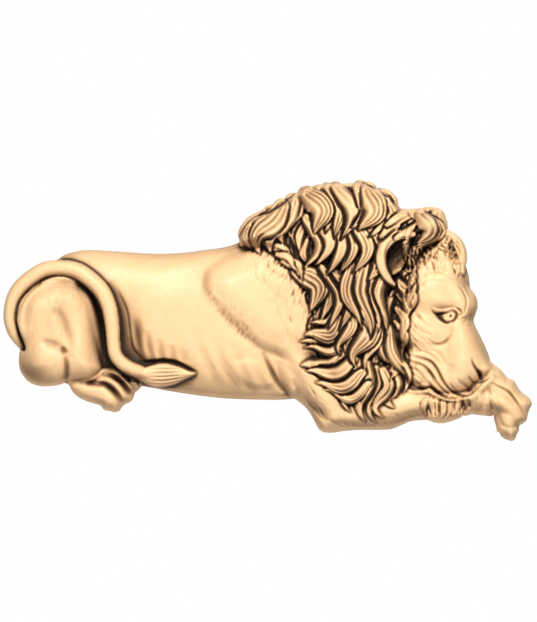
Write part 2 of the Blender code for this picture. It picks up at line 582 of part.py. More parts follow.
def carried_out(board):
    """The heights, softened by a chisel's width, and carried out past the outline."""
    known = board.cover > 0
    heights = np.where(known, np.maximum(board.h, 0), 0.0)
    for _ in range(CARRY):
        total = np.zeros_like(heights)
        count = np.zeros_like(heights)
        for axis in (0, 1):
            for way in (-1, 1):
                total += np.roll(heights * known, way, axis)
                count += np.roll(known, way, axis)
        fresh = ~known & (count > 0)
        heights[fresh] = total[fresh] / count[fresh]
        known |= fresh
    for axis in (0, 1, 0, 1):
        heights = heights / 2 + (np.roll(heights, 1, axis) + np.roll(heights, -1, axis)) / 4
    return heights


def keep_largest(mesh):
    """Leaves only the largest sheet of joined faces."""
    left = set(mesh.faces)
    sheets = []
    while left:
        sheet = {left.pop()}
        edge = list(sheet)
        while edge:
            near = {g for f in edge for e in f.edges for g in e.link_faces if g in left}
            left -= near
            sheet |= near
            edge = list(near)
        sheets.append(sheet)
    largest = max(sheets, key=len)
    bmesh.ops.delete(mesh, geom=[f for f in mesh.faces if f not in largest], context="FACES")


def cut_to_outline(mesh, board):
    """Drops the faces outside the outline, and draws the ragged edge that is left onto it."""
    centres = np.array([f.calc_center_median() for f in mesh.faces])
    inside = board.sample(board.cover, centres[:, 0], centres[:, 2]) > 0
    bmesh.ops.delete(mesh, geom=[f for f, kept in zip(mesh.faces, inside) if not kept], context="FACES")
    keep_largest(mesh)
    pinched = True
    while pinched:
        pinched = [v for v in mesh.verts if sum(e.is_boundary for e in v.link_edges) > 2]
        bmesh.ops.delete(mesh, geom=pinched, context="VERTS")
    border = [v for v in mesh.verts if v.is_boundary]
    x, z = (np.array([v.co[axis] for v in border]) for axis in (0, 2))
    for _ in range(4):
        depth = board.sample(board.cover, x, z)
        slope_x = (board.sample(board.cover, x + 1, z) - board.sample(board.cover, x - 1, z)) / 2
        slope_z = (board.sample(board.cover, x, z + 1) - board.sample(board.cover, x, z - 1)) / 2
        reach = np.clip(depth / np.maximum(slope_x**2 + slope_z**2, 0.2), -CELL / 4, CELL / 4)
        x, z = x - reach * slope_x, z - reach * slope_z
    for vert, new_x, new_z in zip(border, x, z):
        vert.co = (new_x, 0, new_z)
    inner = [v for v in mesh.verts if not v.is_boundary]
    bmesh.ops.smooth_vert(mesh, verts=inner, factor=0.5, use_axis_x=True, use_axis_z=True)


def carved_face(board):
    """The carved front: an open sheet, cut to the outline and raised to the height map."""
    mesh = bmesh.new()
    columns, rows = int((X_HIGH - X_LOW) / CELL), int((Z_HIGH - Z_LOW) / CELL)
    bmesh.ops.create_grid(mesh, x_segments=columns, y_segments=rows, size=0.5)
    for vert in mesh.verts:
        across, up = vert.co.x + 0.5, vert.co.y + 0.5
        vert.co = (X_LOW + across * (X_HIGH - X_LOW), 0, Z_LOW + up * (Z_HIGH - Z_LOW))
    cut_to_outline(mesh, board)
    places = np.array([v.co for v in mesh.verts])
    heights = carried_out(board)
    height = np.maximum(board.sample(heights, places[:, 0], places[:, 2]), 0)
    thickness = RIM + (DEPTH - RIM) * height / height.max()
    for vert, place, thick in zip(mesh.verts, places, thickness):
        vert.co = (place[0] * UNIT, -thick, place[2] * UNIT)
    face = bpy.data.meshes.new("carved_face")
    mesh.to_mesh(face)
    mesh.free()
    return face


def thinned(face):
    """The same sheet with fewer triangles, kept where the carving needs them."""
    face.calc_loop_triangles()
    holder = bpy.data.objects.new("carved_face", face)
    bpy.context.scene.collection.objects.link(holder)
    thin = holder.modifiers.new("Thin", "DECIMATE")
    thin.ratio = TRIANGLES / len(face.loop_triangles)
    thin.use_collapse_triangulate = True
    bpy.context.view_layer.update()
    result = bpy.data.meshes.new_from_object(holder.evaluated_get(bpy.context.evaluated_depsgraph_get()))
    bpy.data.objects.remove(holder)
    return result


def unfold(mesh):
    """Evens out the few triangles that thinning has turned over, and closes up those that stay so."""
    for turn in range(UNFOLDING):
        mesh.normal_update()
        folded = [f for f in mesh.faces if f.normal.y > -STEEPEST]
        if not folded:
            break
        if turn % CLOSING == CLOSING - 1:
            short = {min(f.edges, key=lambda e: e.calc_length()) for f in folded}
            bmesh.ops.collapse(mesh, edges=list(short))
            continue
        loose = {v for f in folded for v in f.verts if not v.is_boundary}
        bmesh.ops.smooth_vert(mesh, verts=list(loose), factor=0.5,
                              use_axis_x=True, use_axis_y=True, use_axis_z=True)


def solid_from(face):
    """Gives the carved sheet its upright edge and its flat back."""
    mesh = bmesh.new()
    mesh.from_mesh(face)
    unfold(mesh)
    border = [e for e in mesh.edges if e.is_boundary]
    made = bmesh.ops.extrude_edge_only(mesh, edges=border)["geom"]
    for vert in (g for g in made if isinstance(g, bmesh.types.BMVert)):
        vert.co.y = 0
    back = [g for g in made if isinstance(g, bmesh.types.BMEdge) and g.is_boundary]
    bmesh.ops.triangle_fill(mesh, edges=back, normal=(0, 1, 0), use_beauty=True)
    bmesh.ops.triangulate(mesh, faces=mesh.faces[:])
    bmesh.ops.recalc_face_normals(mesh, faces=mesh.faces[:])
    solid = bpy.data.meshes.new(NAME)
    mesh.to_mesh(solid)
    mesh.free()
    return solid


def wood():
    material = bpy.data.materials.new("carved_wood")
    material.use_nodes = True
    shader = material.node_tree.nodes["Principled BSDF"]
    shader.inputs["Base Color"].default_value = (*WOOD, 1)
    shader.inputs["Roughness"].default_value = ROUGHNESS
    shader.inputs["Metallic"].default_value = 0.0
    return material


def main():
    for old in list(bpy.data.objects):
        bpy.data.objects.remove(old)
    solid = solid_from(thinned(carved_face(carve())))
    solid.shade_smooth()
    solid.set_sharp_from_angle(angle=math.radians(SHARP))
    solid.materials.append(wood())
    lion = bpy.data.objects.new(NAME, solid)
    group = bpy.data.collections.new("lion relief")
    bpy.context.scene.collection.children.link(group)
    group.objects.link(lion)


main()
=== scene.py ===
"""A lion relief carved in pale limewood with a dark patina and painted shade in its cuts, shown from the
front.
"""
import math

import bmesh
import bpy
import numpy as np
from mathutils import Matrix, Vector


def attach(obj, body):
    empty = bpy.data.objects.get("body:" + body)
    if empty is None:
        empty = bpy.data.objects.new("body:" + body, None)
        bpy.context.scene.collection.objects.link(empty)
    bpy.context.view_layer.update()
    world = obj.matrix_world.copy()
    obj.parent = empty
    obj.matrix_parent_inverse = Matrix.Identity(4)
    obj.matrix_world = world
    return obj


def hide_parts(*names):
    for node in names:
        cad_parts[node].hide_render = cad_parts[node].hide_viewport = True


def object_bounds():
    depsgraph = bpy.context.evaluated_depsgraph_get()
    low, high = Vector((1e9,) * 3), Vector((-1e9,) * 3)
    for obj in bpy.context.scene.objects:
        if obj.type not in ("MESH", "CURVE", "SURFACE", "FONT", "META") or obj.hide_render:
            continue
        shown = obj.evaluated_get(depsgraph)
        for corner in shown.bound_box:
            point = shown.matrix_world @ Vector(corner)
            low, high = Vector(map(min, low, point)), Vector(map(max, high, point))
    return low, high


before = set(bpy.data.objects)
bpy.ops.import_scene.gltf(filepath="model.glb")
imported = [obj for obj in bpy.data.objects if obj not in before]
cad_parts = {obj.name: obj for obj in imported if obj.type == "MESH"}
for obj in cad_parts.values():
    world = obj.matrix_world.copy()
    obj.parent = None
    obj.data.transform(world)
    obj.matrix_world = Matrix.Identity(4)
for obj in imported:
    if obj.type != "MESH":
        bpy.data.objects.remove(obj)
CAD_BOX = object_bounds()

DRAWN_LENGTH = 528.2                                # the drawing's own length, in drawing units
UNIT = (CAD_BOX[1].x - CAD_BOX[0].x) / DRAWN_LENGTH
DEPTH = -CAD_BOX[0].y                               # from the flat back to the foremost lock
RIM = 0.006                                         # thickness of the wood at the outline
X_LOW, X_HIGH = -270.0, 270.0
Z_LOW, Z_HIGH = -136.0, 138.0
RASTER = 0.5                 # spacing of the height map, in drawing units
CELL = 0.75                  # spacing of the grid that is raised to it
TRIANGLES = 186000         # triangles of the carved face
STEEPEST = 0.02                                     # how near to upright a triangle of it may stand
OUTSIDE = -60.0                                     # height and cover where nothing is drawn
CARRY = 4                                           # places the heights are carried past the outline
UNFOLDING = 40                                      # rounds in which folded triangles are evened out
CLOSING = 10                                        # of which every so many closes up those that are left
STEP = 2.0                                          # spacing of the points of a curve
STRAND = 1.6                                        # the same for the middle line of a lock
SEED = 11
TALLEST = 78.4                                      # greatest height of the map, in drawing units
EASED = 74.0                                        # the height from which it is eased towards that
SWELL_FALL = 1.4                                    # how fast a swelling fades with its radii
SWELL_REACH = 2.2                                   # radii at which it has faded out
CUT_REACH = 3                                       # widths at which a cut has faded out


class Board:
    """The drawing board: a map of heights, and one of how far each place lies inside the outline."""

    def __init__(self, step):
        self.step = step
        self.xs = np.arange(X_LOW, X_HIGH + step / 2, step)
        self.zs = np.arange(Z_LOW, Z_HIGH + step / 2, step)
        self.x, self.z = np.meshgrid(self.xs, self.zs)
        self.h = np.full(self.x.shape, OUTSIDE)
        self.cover = np.full(self.x.shape, OUTSIDE)

    def window(self, low, high, margin):
        i0 = max(0, int((low[0] - margin - X_LOW) / self.step))
        i1 = min(len(self.xs), int((high[0] + margin - X_LOW) / self.step) + 2)
        k0 = max(0, int((low[1] - margin - Z_LOW) / self.step))
        k1 = min(len(self.zs), int((high[1] + margin - Z_LOW) / self.step) + 2)
        return slice(k0, k1), slice(i0, i1)

    def join(self, win, surface, inside, fillet):
        """Joins a form to what is there, with a fillet where they meet."""
        surface = np.where(inside > 0, surface, OUTSIDE)
        gap = np.clip(fillet - np.abs(self.h[win] - surface), 0, None) / max(fillet, 1e-6)
        self.h[win] = np.maximum(self.h[win], surface) + gap**2 * fillet / 4
        self.cover[win] = np.maximum(self.cover[win], inside)

    def lay_over(self, win, surface, inside, moat_depth, moat_width):
        """Lays a form over what is there, with a cut beside it that makes it stand clear."""
        moat = np.clip(1 + inside / moat_width, 0, 1) ** 1.5 * moat_depth
        around = np.where(self.h[win] > OUTSIDE, np.maximum(self.h[win] - moat, 1.0), OUTSIDE)
        self.h[win] = np.where(inside > 0, surface, around)
        self.cover[win] = np.maximum(self.cover[win], inside)

    def sample(self, field, x, z):
        """Reads a map between its places."""
        i = np.clip((x - X_LOW) / self.step, 0, len(self.xs) - 1.001)
        k = np.clip((z - Z_LOW) / self.step, 0, len(self.zs) - 1.001)
        i0, k0 = i.astype(int), k.astype(int)
        u, v = i - i0, k - k0
        low = field[k0, i0] * (1 - u) + field[k0, i0 + 1] * u
        high = field[k0 + 1, i0] * (1 - u) + field[k0 + 1, i0 + 1] * u
        return low * (1 - v) + high * v


def through(points, closed=False):
    """A smooth curve through points, whose further columns, such as widths, change along it too."""
    rows = np.array(points, float)
    if closed:
        rows = np.vstack([rows[-1], rows, rows[:2]])
    else:
        rows = np.vstack([2 * rows[0] - rows[1], rows, 2 * rows[-1] - rows[-2]])
    out = []
    for a, b, c, d in zip(rows[:-3], rows[1:-2], rows[2:-1], rows[3:]):
        count = max(2, int(math.hypot(c[0] - b[0], c[1] - b[1]) / STEP))
        t = np.linspace(0, 1, count, endpoint=False)[:, None]
        bend = (2 * a - 5 * b + 4 * c - d) * t**2 + (3 * b - a - 3 * c + d) * t**3
        out.append(b + ((c - a) * t + bend) / 2)
    return np.vstack(out + [rows[-2]])


def along(board, path, margin):
    """For each place near a path: the share of the way along, the distance to its left, and its columns."""
    win = board.window(path[:, :2].min(0), path[:, :2].max(0), margin)
    x, z = board.x[win], board.z[win]
    legs = np.diff(path[:, :2], axis=0)
    lengths = np.maximum(np.hypot(legs[:, 0], legs[:, 1]), 1e-9)
    run = np.concatenate([[0], np.cumsum(lengths)])
    best = np.full(x.shape, 1e9)
    where = np.zeros(x.shape)
    side = np.ones(x.shape)
    for k, (start, leg, length) in enumerate(zip(path[:-1, :2], legs, lengths)):
        dx, dz = x - start[0], z - start[1]
        t = np.clip((dx * leg[0] + dz * leg[1]) / length**2, 0, 1)
        away = np.hypot(dx - t * leg[0], dz - t * leg[1])
        nearer = away < best
        best = np.where(nearer, away, best)
        where = np.where(nearer, run[k] + t * length, where)
        side = np.where(nearer, np.where(leg[0] * dz - leg[1] * dx >= 0, 1.0, -1.0), side)
    columns = [np.interp(where, run, path[:, c]) for c in range(2, path.shape[1])]
    return win, where / run[-1], best * side, columns


def turned(board, win, centre, radii, turn):
    """Coordinates about a centre, turned and measured in radii."""
    angle = math.radians(turn)
    dx, dz = board.x[win] - centre[0], board.z[win] - centre[1]
    u = (dx * math.cos(angle) + dz * math.sin(angle)) / radii[0]
    v = (dz * math.cos(angle) - dx * math.sin(angle)) / radii[1]
    return u, v


def dome(board, centre, radii, crown, fillet, power=2.0):
    """A round form about a centre. A power above 2 makes it squarer."""
    win = board.window(centre, centre, max(radii) * 1.1 + 2)
    u, v = turned(board, win, centre, radii, 0)
    q = (np.abs(u) ** power + np.abs(v) ** power) ** (1 / power)
    board.join(win, crown * np.sqrt(np.clip(1 - q**2, 0, 1)), (1 - q) * min(radii), fillet)


def swell(board, centre, radii, amount, turn=0.0):
    """Raises what is there into a soft swelling, or lowers it."""
    win = board.window(centre, centre, max(radii) * SWELL_REACH)
    u, v = turned(board, win, centre, radii, turn)
    board.h[win] += amount * np.exp(-SWELL_FALL * (u**2 + v**2)) * (board.h[win] > 0)


def swells(board, rows):
    """Several swellings and hollows, by their middle, radii, amount and turn."""
    for centre, radii, amount, turn in rows:
        swell(board, centre, radii, amount, turn)


def button(board, centre, radii, amount):
    """Raises what is there into a round boss with an edge, or sinks a round pit."""
    win = board.window(centre, centre, max(radii) + 2)
    u, v = turned(board, win, centre, radii, 0)
    board.h[win] += amount * np.sqrt(np.clip(1 - u**2 - v**2, 0, 1))


def limb(board, points, fillet):
    """A round form along a path of rows: x, z, half width, crown."""
    path = through(points)
    win, _, d, (half, crown) = along(board, path, path[:, 2].max() * 1.1 + 2)
    q = np.clip(np.abs(d) / half, 0, 1)
    board.join(win, crown * np.sqrt(1 - q**2), half - np.abs(d), fillet)


def tube(board, points, moat, roundness=1.0):
    """A round form that lies on what is there, along a path of rows: x, z, half width, crown."""
    path = through(points)
    win, _, d, (half, crown) = along(board, path, path[:, 2].max() + moat[1] + 2)
    q = np.clip(np.abs(d) / half, 0, 1)
    board.lay_over(win, crown - half * roundness * (1 - np.sqrt(1 - q**2)), half - np.abs(d), *moat)


def encloses(loop, x, z):
    """Which places lie inside a closed line."""
    inside = np.zeros(x.shape, bool)
    for (x0, z0), (x1, z1) in zip(loop[:-1, :2], loop[1:, :2]):
        if z0 != z1:
            crosses = (z0 > z) != (z1 > z)
            inside ^= crosses & (x < x0 + (z - z0) * (x1 - x0) / (z1 - z0))
    return inside


def depth_inside(board, outline, margin):
    """How far each place near a drawn outline lies inside it, and less than 0 outside."""
    loop = through(outline, closed=True)
    win, _, d, _ = along(board, loop, margin)
    return win, np.where(encloses(loop, board.x[win], board.z[win]), np.abs(d), -np.abs(d))


def pillow(board, outline, crown, bevel, floor, fillet):
    """A form with a drawn outline, which rises from its edge in a quarter round."""
    win, inside = depth_inside(board, outline, 4)
    rise = np.sqrt(1 - (1 - np.clip(inside / bevel, 0, 1)) ** 2)
    board.join(win, floor + (crown - floor) * rise, inside, fillet)


def crease(board, points, depth, width, ends=0.6):
    """A groove along a path, which runs out at both ends. A negative depth makes a ridge."""
    win, t, d, _ = along(board, through(points), width * CUT_REACH)
    section = np.exp(-((d / width) ** 2))
    board.h[win] -= depth * np.sin(np.pi * t) ** ends * section * (board.h[win] > 0)


def ridge(board, points, height, width):
    crease(board, points, -height, width)


def pad(board, outline, amount, width):
    """Raises what is there inside a drawn outline, with a soft edge."""
    win, inside = depth_inside(board, outline, 4)
    rise = np.clip(inside / width, 0, 1)
    board.h[win] += amount * rise**2 * (3 - 2 * rise) * (board.h[win] > 0)


def trunk(board):
    """The back and the belly, rounded each in its own way from a ridge between them."""
    top = through([(-226, 34), (-208, 52.5), (-194, 58), (-180, 60), (-150, 58.5), (-118, 56.5), (-88, 57),
                   (-63, 60), (-43, 63), (-28, 68), (10, 84), (60, 90), (100, 88)])
    low = through([(-226, -40), (-180, -60), (-140, -73), (-112, -78.7), (-83, -83.7), (-43, -88.5),
                   (7, -90), (30, -88.5), (70, -86), (100, -84)])
    crown = through([(-226, 34), (-180, 38), (-130, 41), (-80, 44), (-20, 47), (40, 48), (100, 48)])
    ridge_share, back_round, belly_round = 0.66, 2.6, 2.3
    win = board.window((-226, -92), (100, 92), 0)
    x, z = board.x[win], board.z[win]
    z_top = np.interp(x, top[:, 0], top[:, 1])
    z_low = np.interp(x, low[:, 0], low[:, 1])
    depth = np.interp(x, crown[:, 0], crown[:, 1])
    z_crown = z_low + (z_top - z_low) * ridge_share
    up = np.clip((z - z_crown) / (z_top - z_crown), 0, 1)
    down = np.clip((z_crown - z) / (z_crown - z_low), 0, 1)
    surface = depth * np.sqrt(np.clip(1 - up**back_round - down**belly_round, 0, 1))
    inside = np.minimum(z_top - z, z - z_low)
    board.join(win, surface, inside, 0)


def flank(board):
    """The skin folds beside the tail, the ribs and the soft fall of the loin."""
    # Each fold by its x, upper end, lower end, lean and depth.
    folds = [(-132, -8, -54, 8, 3.4), (-121, -20, -57, 8, 3.2), (-109, -28, -58, 7, 2.6),
             (-97, -34, -58, 6, 2.0), (-86, -38, -54, 5, 1.2)]
    deeper, width = 1.4, 4.2
    for x, z_high, z_end, lean, depth in folds:
        path = [(x, z_high), (x + lean * 0.3, (z_high + z_end) / 2), (x + lean, z_end)]
        crease(board, path, depth * deeper, width, ends=1.0)
    ribs = [(-72, -46, 1.8), (-52, -54, 2.2), (-34, -60, 2.0), (-16, -66, 1.8)]
    rib, hollow, stronger, slant = (9, 25), (6.5, 24), 1.3, 24
    for x, z, amount in ribs:
        swell(board, (x, z), rib, amount * stronger, slant)
        swell(board, (x + 10, z - 3), hollow, -amount * stronger, slant)
    behind_elbow = [(-36, -52), (-22, -46), (-8, -48), (2, -62), (8, -76), (-8, -81), (-24, -76),
                    (-34, -66)]
    pad(board, behind_elbow, amount=2.6, width=8)
    loin = [((-80, 34), (44, 10), -1.6, 24), ((-100, 10), (50, 22), 1.5, -8),
            ((-136, -26), (12, 40), -8, 4)]
    swells(board, loin)


def haunch(board):
    """The thigh, with the hollow and the cut that part it into two lobes."""
    outline = [(-248, -36), (-252, -20), (-250, -4), (-245, 10), (-236, 21), (-224, 29), (-208, 33),
               (-192, 31), (-181, 22), (-174, 8), (-170, -10), (-168, -30), (-166, -48), (-165, -58),
               (-170, -66), (-176, -70.5), (-186, -72), (-202, -71.5), (-206, -74), (-216, -76),
               (-228, -76), (-239, -72), (-247, -62), (-249, -50)]
    pillow(board, outline, crown=50, bevel=28, floor=14, fillet=4)
    muscles = [((-194, 8), (16, 16), 3, 0), ((-186, -36), (12, 28), 4, 0), ((-226, 10), (20, 12), 2, 30)]
    swells(board, muscles)
    thigh_hollow = [(-214, 2), (-206, -6), (-200, -20), (-198, -32), (-201, -42)]
    crease(board, thigh_hollow, depth=5.0, width=5.2)
    side_hollow = [(-226, -30), (-216, -33), (-207, -37), (-202, -44)]
    crease(board, side_hollow, depth=4.4, width=4.0)
    lobes = [((-226, -50), (18, 15), 4, 0), ((-238, -66), (16, 10), -5, -30),
             ((-232, 4), (10, 18), 2.5, 0)]
    swells(board, lobes)
    between_lobes = [(-206, -36), (-203, -42), (-201, -50), (-200.5, -60), (-201, -68), (-204, -79)]
    crease(board, between_lobes, depth=6, width=2.6)
    short_fold = [(-205, -38), (-199, -43), (-195, -49)]
    crease(board, short_fold, depth=2.4, width=2.4)
    under_thigh = [(-198, -73), (-182, -73), (-173, -71), (-167, -66), (-160, -60)]
    crease(board, under_thigh, depth=5, width=2.2)


def hind_paw(board):
    """The hind foot and its two long toes."""
    outline = [(-204, -70), (-199, -75), (-196, -81), (-190, -87), (-182, -91), (-172, -94), (-167, -96),
               (-164, -100), (-158, -101), (-153, -102.5), (-149, -101), (-147, -98), (-144, -95),
               (-138, -92), (-135, -88), (-134, -84), (-131, -81), (-128, -78), (-126, -74), (-122, -66),
               (-140, -54), (-168, -56)]
    pillow(board, outline, crown=31, bevel=14, floor=10, fillet=3)
    swell(board, (-160, -90), (15, 9), 4, turn=-10)
    lower_toe = [(-162, -70), (-155, -72), (-149, -78), (-144, -85), (-141, -91)]
    ridge(board, lower_toe, height=3.5, width=3.4)
    upper_toe = [(-158, -60), (-148, -65), (-140, -73), (-134, -80)]
    ridge(board, upper_toe, height=4, width=3.4)
    heel_cut = [(-182, -74), (-170, -73.5), (-163, -74), (-157, -78), (-152, -83), (-148, -89), (-144, -95)]
    crease(board, heel_cut, depth=9, width=2.6)
    between_toes = [(-166, -66), (-158, -65), (-151, -68), (-145, -73), (-140, -80), (-136, -84),
                    (-133, -86)]
    crease(board, between_toes, depth=10, width=2.8)
    beside_tuft = [(-150, -60), (-142, -67), (-136, -74), (-130, -80)]
    crease(board, beside_tuft, depth=4, width=1.8)


def tail(board):
    """The tail in its loop round the haunch, and the cuts on both sides of it."""
    haunch_side = [(-190, 30), (-176, 18), (-169, 2), (-165, -18), (-163, -36), (-162, -58)]
    crease(board, haunch_side, depth=14, width=5.0)
    belly_side = [(-160, 28), (-147, 6), (-144, -14), (-142, -28), (-136, -42), (-127, -50), (-112, -54)]
    crease(board, belly_side, depth=8, width=5.5)
    under_loop = [(-247, -30), (-250, -10), (-246, 8), (-236, 21), (-220, 29), (-204, 32), (-188, 29)]
    ridge(board, under_loop, height=13, width=5)
    middle = [(-245, -38, 3, 14), (-250, -30, 5, 20), (-254.5, -21, 6.3, 25), (-257.7, -8, 6.5, 30),
              (-255.4, 8, 7, 34), (-248, 21, 8, 38), (-236, 32, 8, 42), (-222, 40, 8, 46),
              (-206, 42, 8, 50), (-190, 39, 8.5, 53), (-176, 30, 8.5, 56), (-165, 18, 8.5, 58),
              (-158, 2, 8, 59), (-155, -16, 7.5, 59), (-154, -32, 7, 58), (-152, -44, 7, 57),
              (-146, -52, 7, 56), (-137, -58, 7, 53), (-127, -62, 7, 49), (-118, -65, 5, 44)]
    tube(board, middle, moat=(1, 2), roundness=1.6)
    inner_line = [(-243, -32), (-248, -12), (-244, 8), (-232, 22), (-216, 29), (-200, 30)]
    crease(board, inner_line, depth=2.0, width=1.2)
    outer_line = [(-150, 20), (-141, 0), (-138, -20), (-135, -38), (-125, -50)]
    crease(board, outer_line, depth=2.0, width=1.0)


def tail_tuft(board):
    """The hair at the tail's end, over the belly."""
    outline = [(-136, -61), (-126, -58), (-116, -55), (-104, -53), (-90, -56), (-80, -60), (-71, -63),
               (-81, -69), (-95, -75), (-110, -77), (-121, -74), (-130, -69)]
    win, inside = depth_inside(board, outline, 12)
    bevel, middle, floor, slant, swelling = 11, -66, 37, 0.5, 9
    edge = 1 - np.clip(inside / bevel, 0, 1)
    slope = floor + slant * (board.z[win] - middle)
    board.join(win, slope + swelling * np.sqrt(1 - edge**2), inside, fillet=3)
    upper_edge = [(-130, -52), (-118, -52), (-104, -50.5), (-92, -52.5), (-80, -58), (-70, -64)]
    crease(board, upper_edge, depth=7, width=1.6)
    hairs_cut, first, spacing = 5, -59, 3.4
    for k in range(hairs_cut):
        z = first - spacing * k
        hair = [(-118, z - 1), (-104, z - 0.4 * k), (-88, z * 0.55 - 27 - k), (-77, -63 - k)]
        crease(board, hair, depth=3.2, width=1.0)


def shoulder(board):
    """The skin of the shoulder, which lies over the ribs with a soft edge."""
    outline = [(-30, 60), (-46, 54), (-58, 45), (-65, 34), (-66, 24), (-62, 13), (-54, 3), (-44, -7),
               (-33, -17), (-22, -27), (-12, -36), (-2, -42), (12, -46), (32, -49), (54, -52), (74, -30),
               (74, 10), (54, 50), (24, 76), (-10, 68)]
    pad(board, outline, amount=4.5, width=11)
    pad(board, outline, amount=6.0, width=30)
    lower_edge = [(-52, 0), (-40, -13), (-24, -27), (-6, -40), (10, -47)]
    crease(board, lower_edge, depth=2.2, width=4.5)
    blade = [((-44, 24), (12, 20), 1.6, 20), ((-20, 0), (16, 26), 1.5, 40)]
    swells(board, blade)


def foreleg(board):
    """The upper arm under the mane and the forearm on the ground."""
    outline = [(-6, -42), (2, -58), (10, -74), (20, -86), (26, -88.5), (35, -95), (42, -103), (48, -114),
               (53, -121), (62, -123), (77, -121), (92, -120), (112, -120), (124, -119), (134, -115),
               (144, -111), (160, -109.5), (178, -105), (195, -103.5), (207, -104.5), (216, -105.5),
               (226, -104), (226, -80), (165, -70), (140, -66), (110, -60), (80, -45), (50, -36),
               (20, -36)]
    pillow(board, outline, crown=45, bevel=26, floor=6, fillet=4)
    upper_arm = [(20, -36, 18, 48), (38, -60, 19, 50), (58, -88, 18, 49), (68, -102, 14, 46)]
    limb(board, upper_arm, fillet=10)
    forearm = [(66, -106, 13, 44), (92, -103, 15, 46), (120, -100, 16, 46), (150, -93, 14, 46),
               (184, -89, 12, 44)]
    limb(board, forearm, fillet=8)
    back_of_elbow = [(-6, -42), (2, -58), (10, -74), (15, -82)]
    crease(board, back_of_elbow, depth=5, width=2.4)
    elbow_fold = [(24, -68), (28, -78), (32, -86)]
    crease(board, elbow_fold, depth=2.4, width=3)
    sinew = [(40, -94), (50, -102), (60, -110), (74, -114), (90, -115)]
    crease(board, sinew, depth=2.2, width=2.6)
    elbow = [((60, -112), (10, 8), 2, 0), ((26, -60), (6, 18), -2, 30)]
    swells(board, elbow)


def front_paws(board):
    """The two crossed paws under the muzzle."""
    outline = [(200, -70), (214, -60), (221, -52), (228, -56), (233, -60), (237, -65), (240, -68),
               (245, -70), (248, -74), (251, -79), (255, -83), (260, -87), (263, -91), (264, -94),
               (262, -98), (260, -103), (259, -108), (258, -111), (254, -114), (251, -116), (251, -120),
               (249, -124), (247, -129), (244, -131), (240, -130), (236, -126), (232, -122.5),
               (230, -122), (229, -117), (227, -110), (226.5, -105), (222, -104), (217, -105.5),
               (212, -105), (207, -103.5), (194, -103.5)]
    pillow(board, outline, crown=42, bevel=15, floor=12, fillet=3)
    paw = [(196, -88, 12, 41), (214, -88, 13, 44), (230, -90, 13, 47), (242, -98, 12, 46),
           (248, -106, 9, 41)]
    limb(board, paw, fillet=5)
    dome(board, (241, -120), (9, 10), crown=33, fillet=3)
    swell(board, (240, -76), (9, 7), 2, turn=-40)
    between_toes = [(221, -72), (232, -77), (239, -81), (244, -86), (249, -93), (253, -99), (257, -106)]
    crease(board, between_toes, depth=4.5, width=1.1)
    upper_toe = [(224, -62), (228, -66), (234, -67)]
    crease(board, upper_toe, depth=1.6, width=1.2)
    under_paw = [(229, -104), (231, -110), (235, -115.5), (242, -117.5), (252, -115.5)]
    crease(board, under_paw, depth=2.6, width=2.0)
    claw = [(238, -127), (243, -127.5), (248, -123)]
    crease(board, claw, depth=1.6, width=1.4)


FACE = [(176, 78), (190, 66), (195, 50), (196, 36), (198, 29), (202, 22), (206.5, 16), (209, 10),
        (209.5, 3), (207.5, -4), (205.5, -9.5), (206.5, -15), (209.5, -22), (212.5, -30), (216, -39),
        (220, -47), (223, -52), (225.5, -56), (226, -61), (223, -66), (216, -72), (208, -78), (198, -83),
        (186, -87), (172, -88), (158, -84), (144, -79), (134, -70), (130, -50), (128, -20), (130, 10),
        (136, 30), (146, 48), (160, 64)]


def head(board):
    """The skull, the nose and the muzzle as large forms, then the features on them."""
    pillow(board, FACE, crown=49, bevel=17, floor=12, fillet=3)
    dome(board, (160, 20), (42, 48), crown=58, fillet=6, power=2.3)
    dome(board, (150, -20), (34, 34), crown=56, fillet=8)
    bridge = [(176, 30, 14, 48), (184, 20, 14, 51), (191, 8, 14, 53), (192, -2, 13, 52)]
    limb(board, bridge, fillet=14)
    muzzle = [(184, -12, 19, 52), (190, -28, 21, 55), (194, -44, 25, 57), (195, -56, 27, 57),
              (190, -66, 20, 54)]
    limb(board, muzzle, fillet=8)
    dome(board, (154, -58), (26, 26), crown=48, fillet=6)
    far_ear(board)
    beard(board)
    brow(board)
    eye(board)
    nose(board)
    mouth(board)


def brow(board):
    """The frown beside the nose and the lines of the forehead."""
    brow_line = [(188, 27), (193.4, 20), (196.3, 14), (197.7, 8), (196.6, 1.4), (195, -3.6), (191.5, -5.5)]
    crease(board, brow_line, depth=2.8, width=0.8)
    upper_wrinkle = [(191, -8.6), (197, -7.6), (201, -4.4)]
    crease(board, upper_wrinkle, depth=1.9, width=0.8)
    lower_wrinkle = [(192.5, -15), (196.3, -10.8), (199, -8)]
    crease(board, lower_wrinkle, depth=1.5, width=0.8)
    forehead = [((204, 8), (5, 12), 2.0, 0), ((206, -9), (6, 6), -3.0, 0), ((174, 9), (18, 7), 3.0, -4),
                ((150, 2), (14, 10), -1.6, 0)]
    swells(board, forehead)
    arch = [(142, 12), (152, 24), (164, 29), (176, 27), (184, 20)]
    crease(board, arch, depth=0.9, width=1.6)
    forehead_line = [(158, 36), (166, 38), (176, 36), (184, 30)]
    crease(board, forehead_line, depth=0.8, width=1.2)


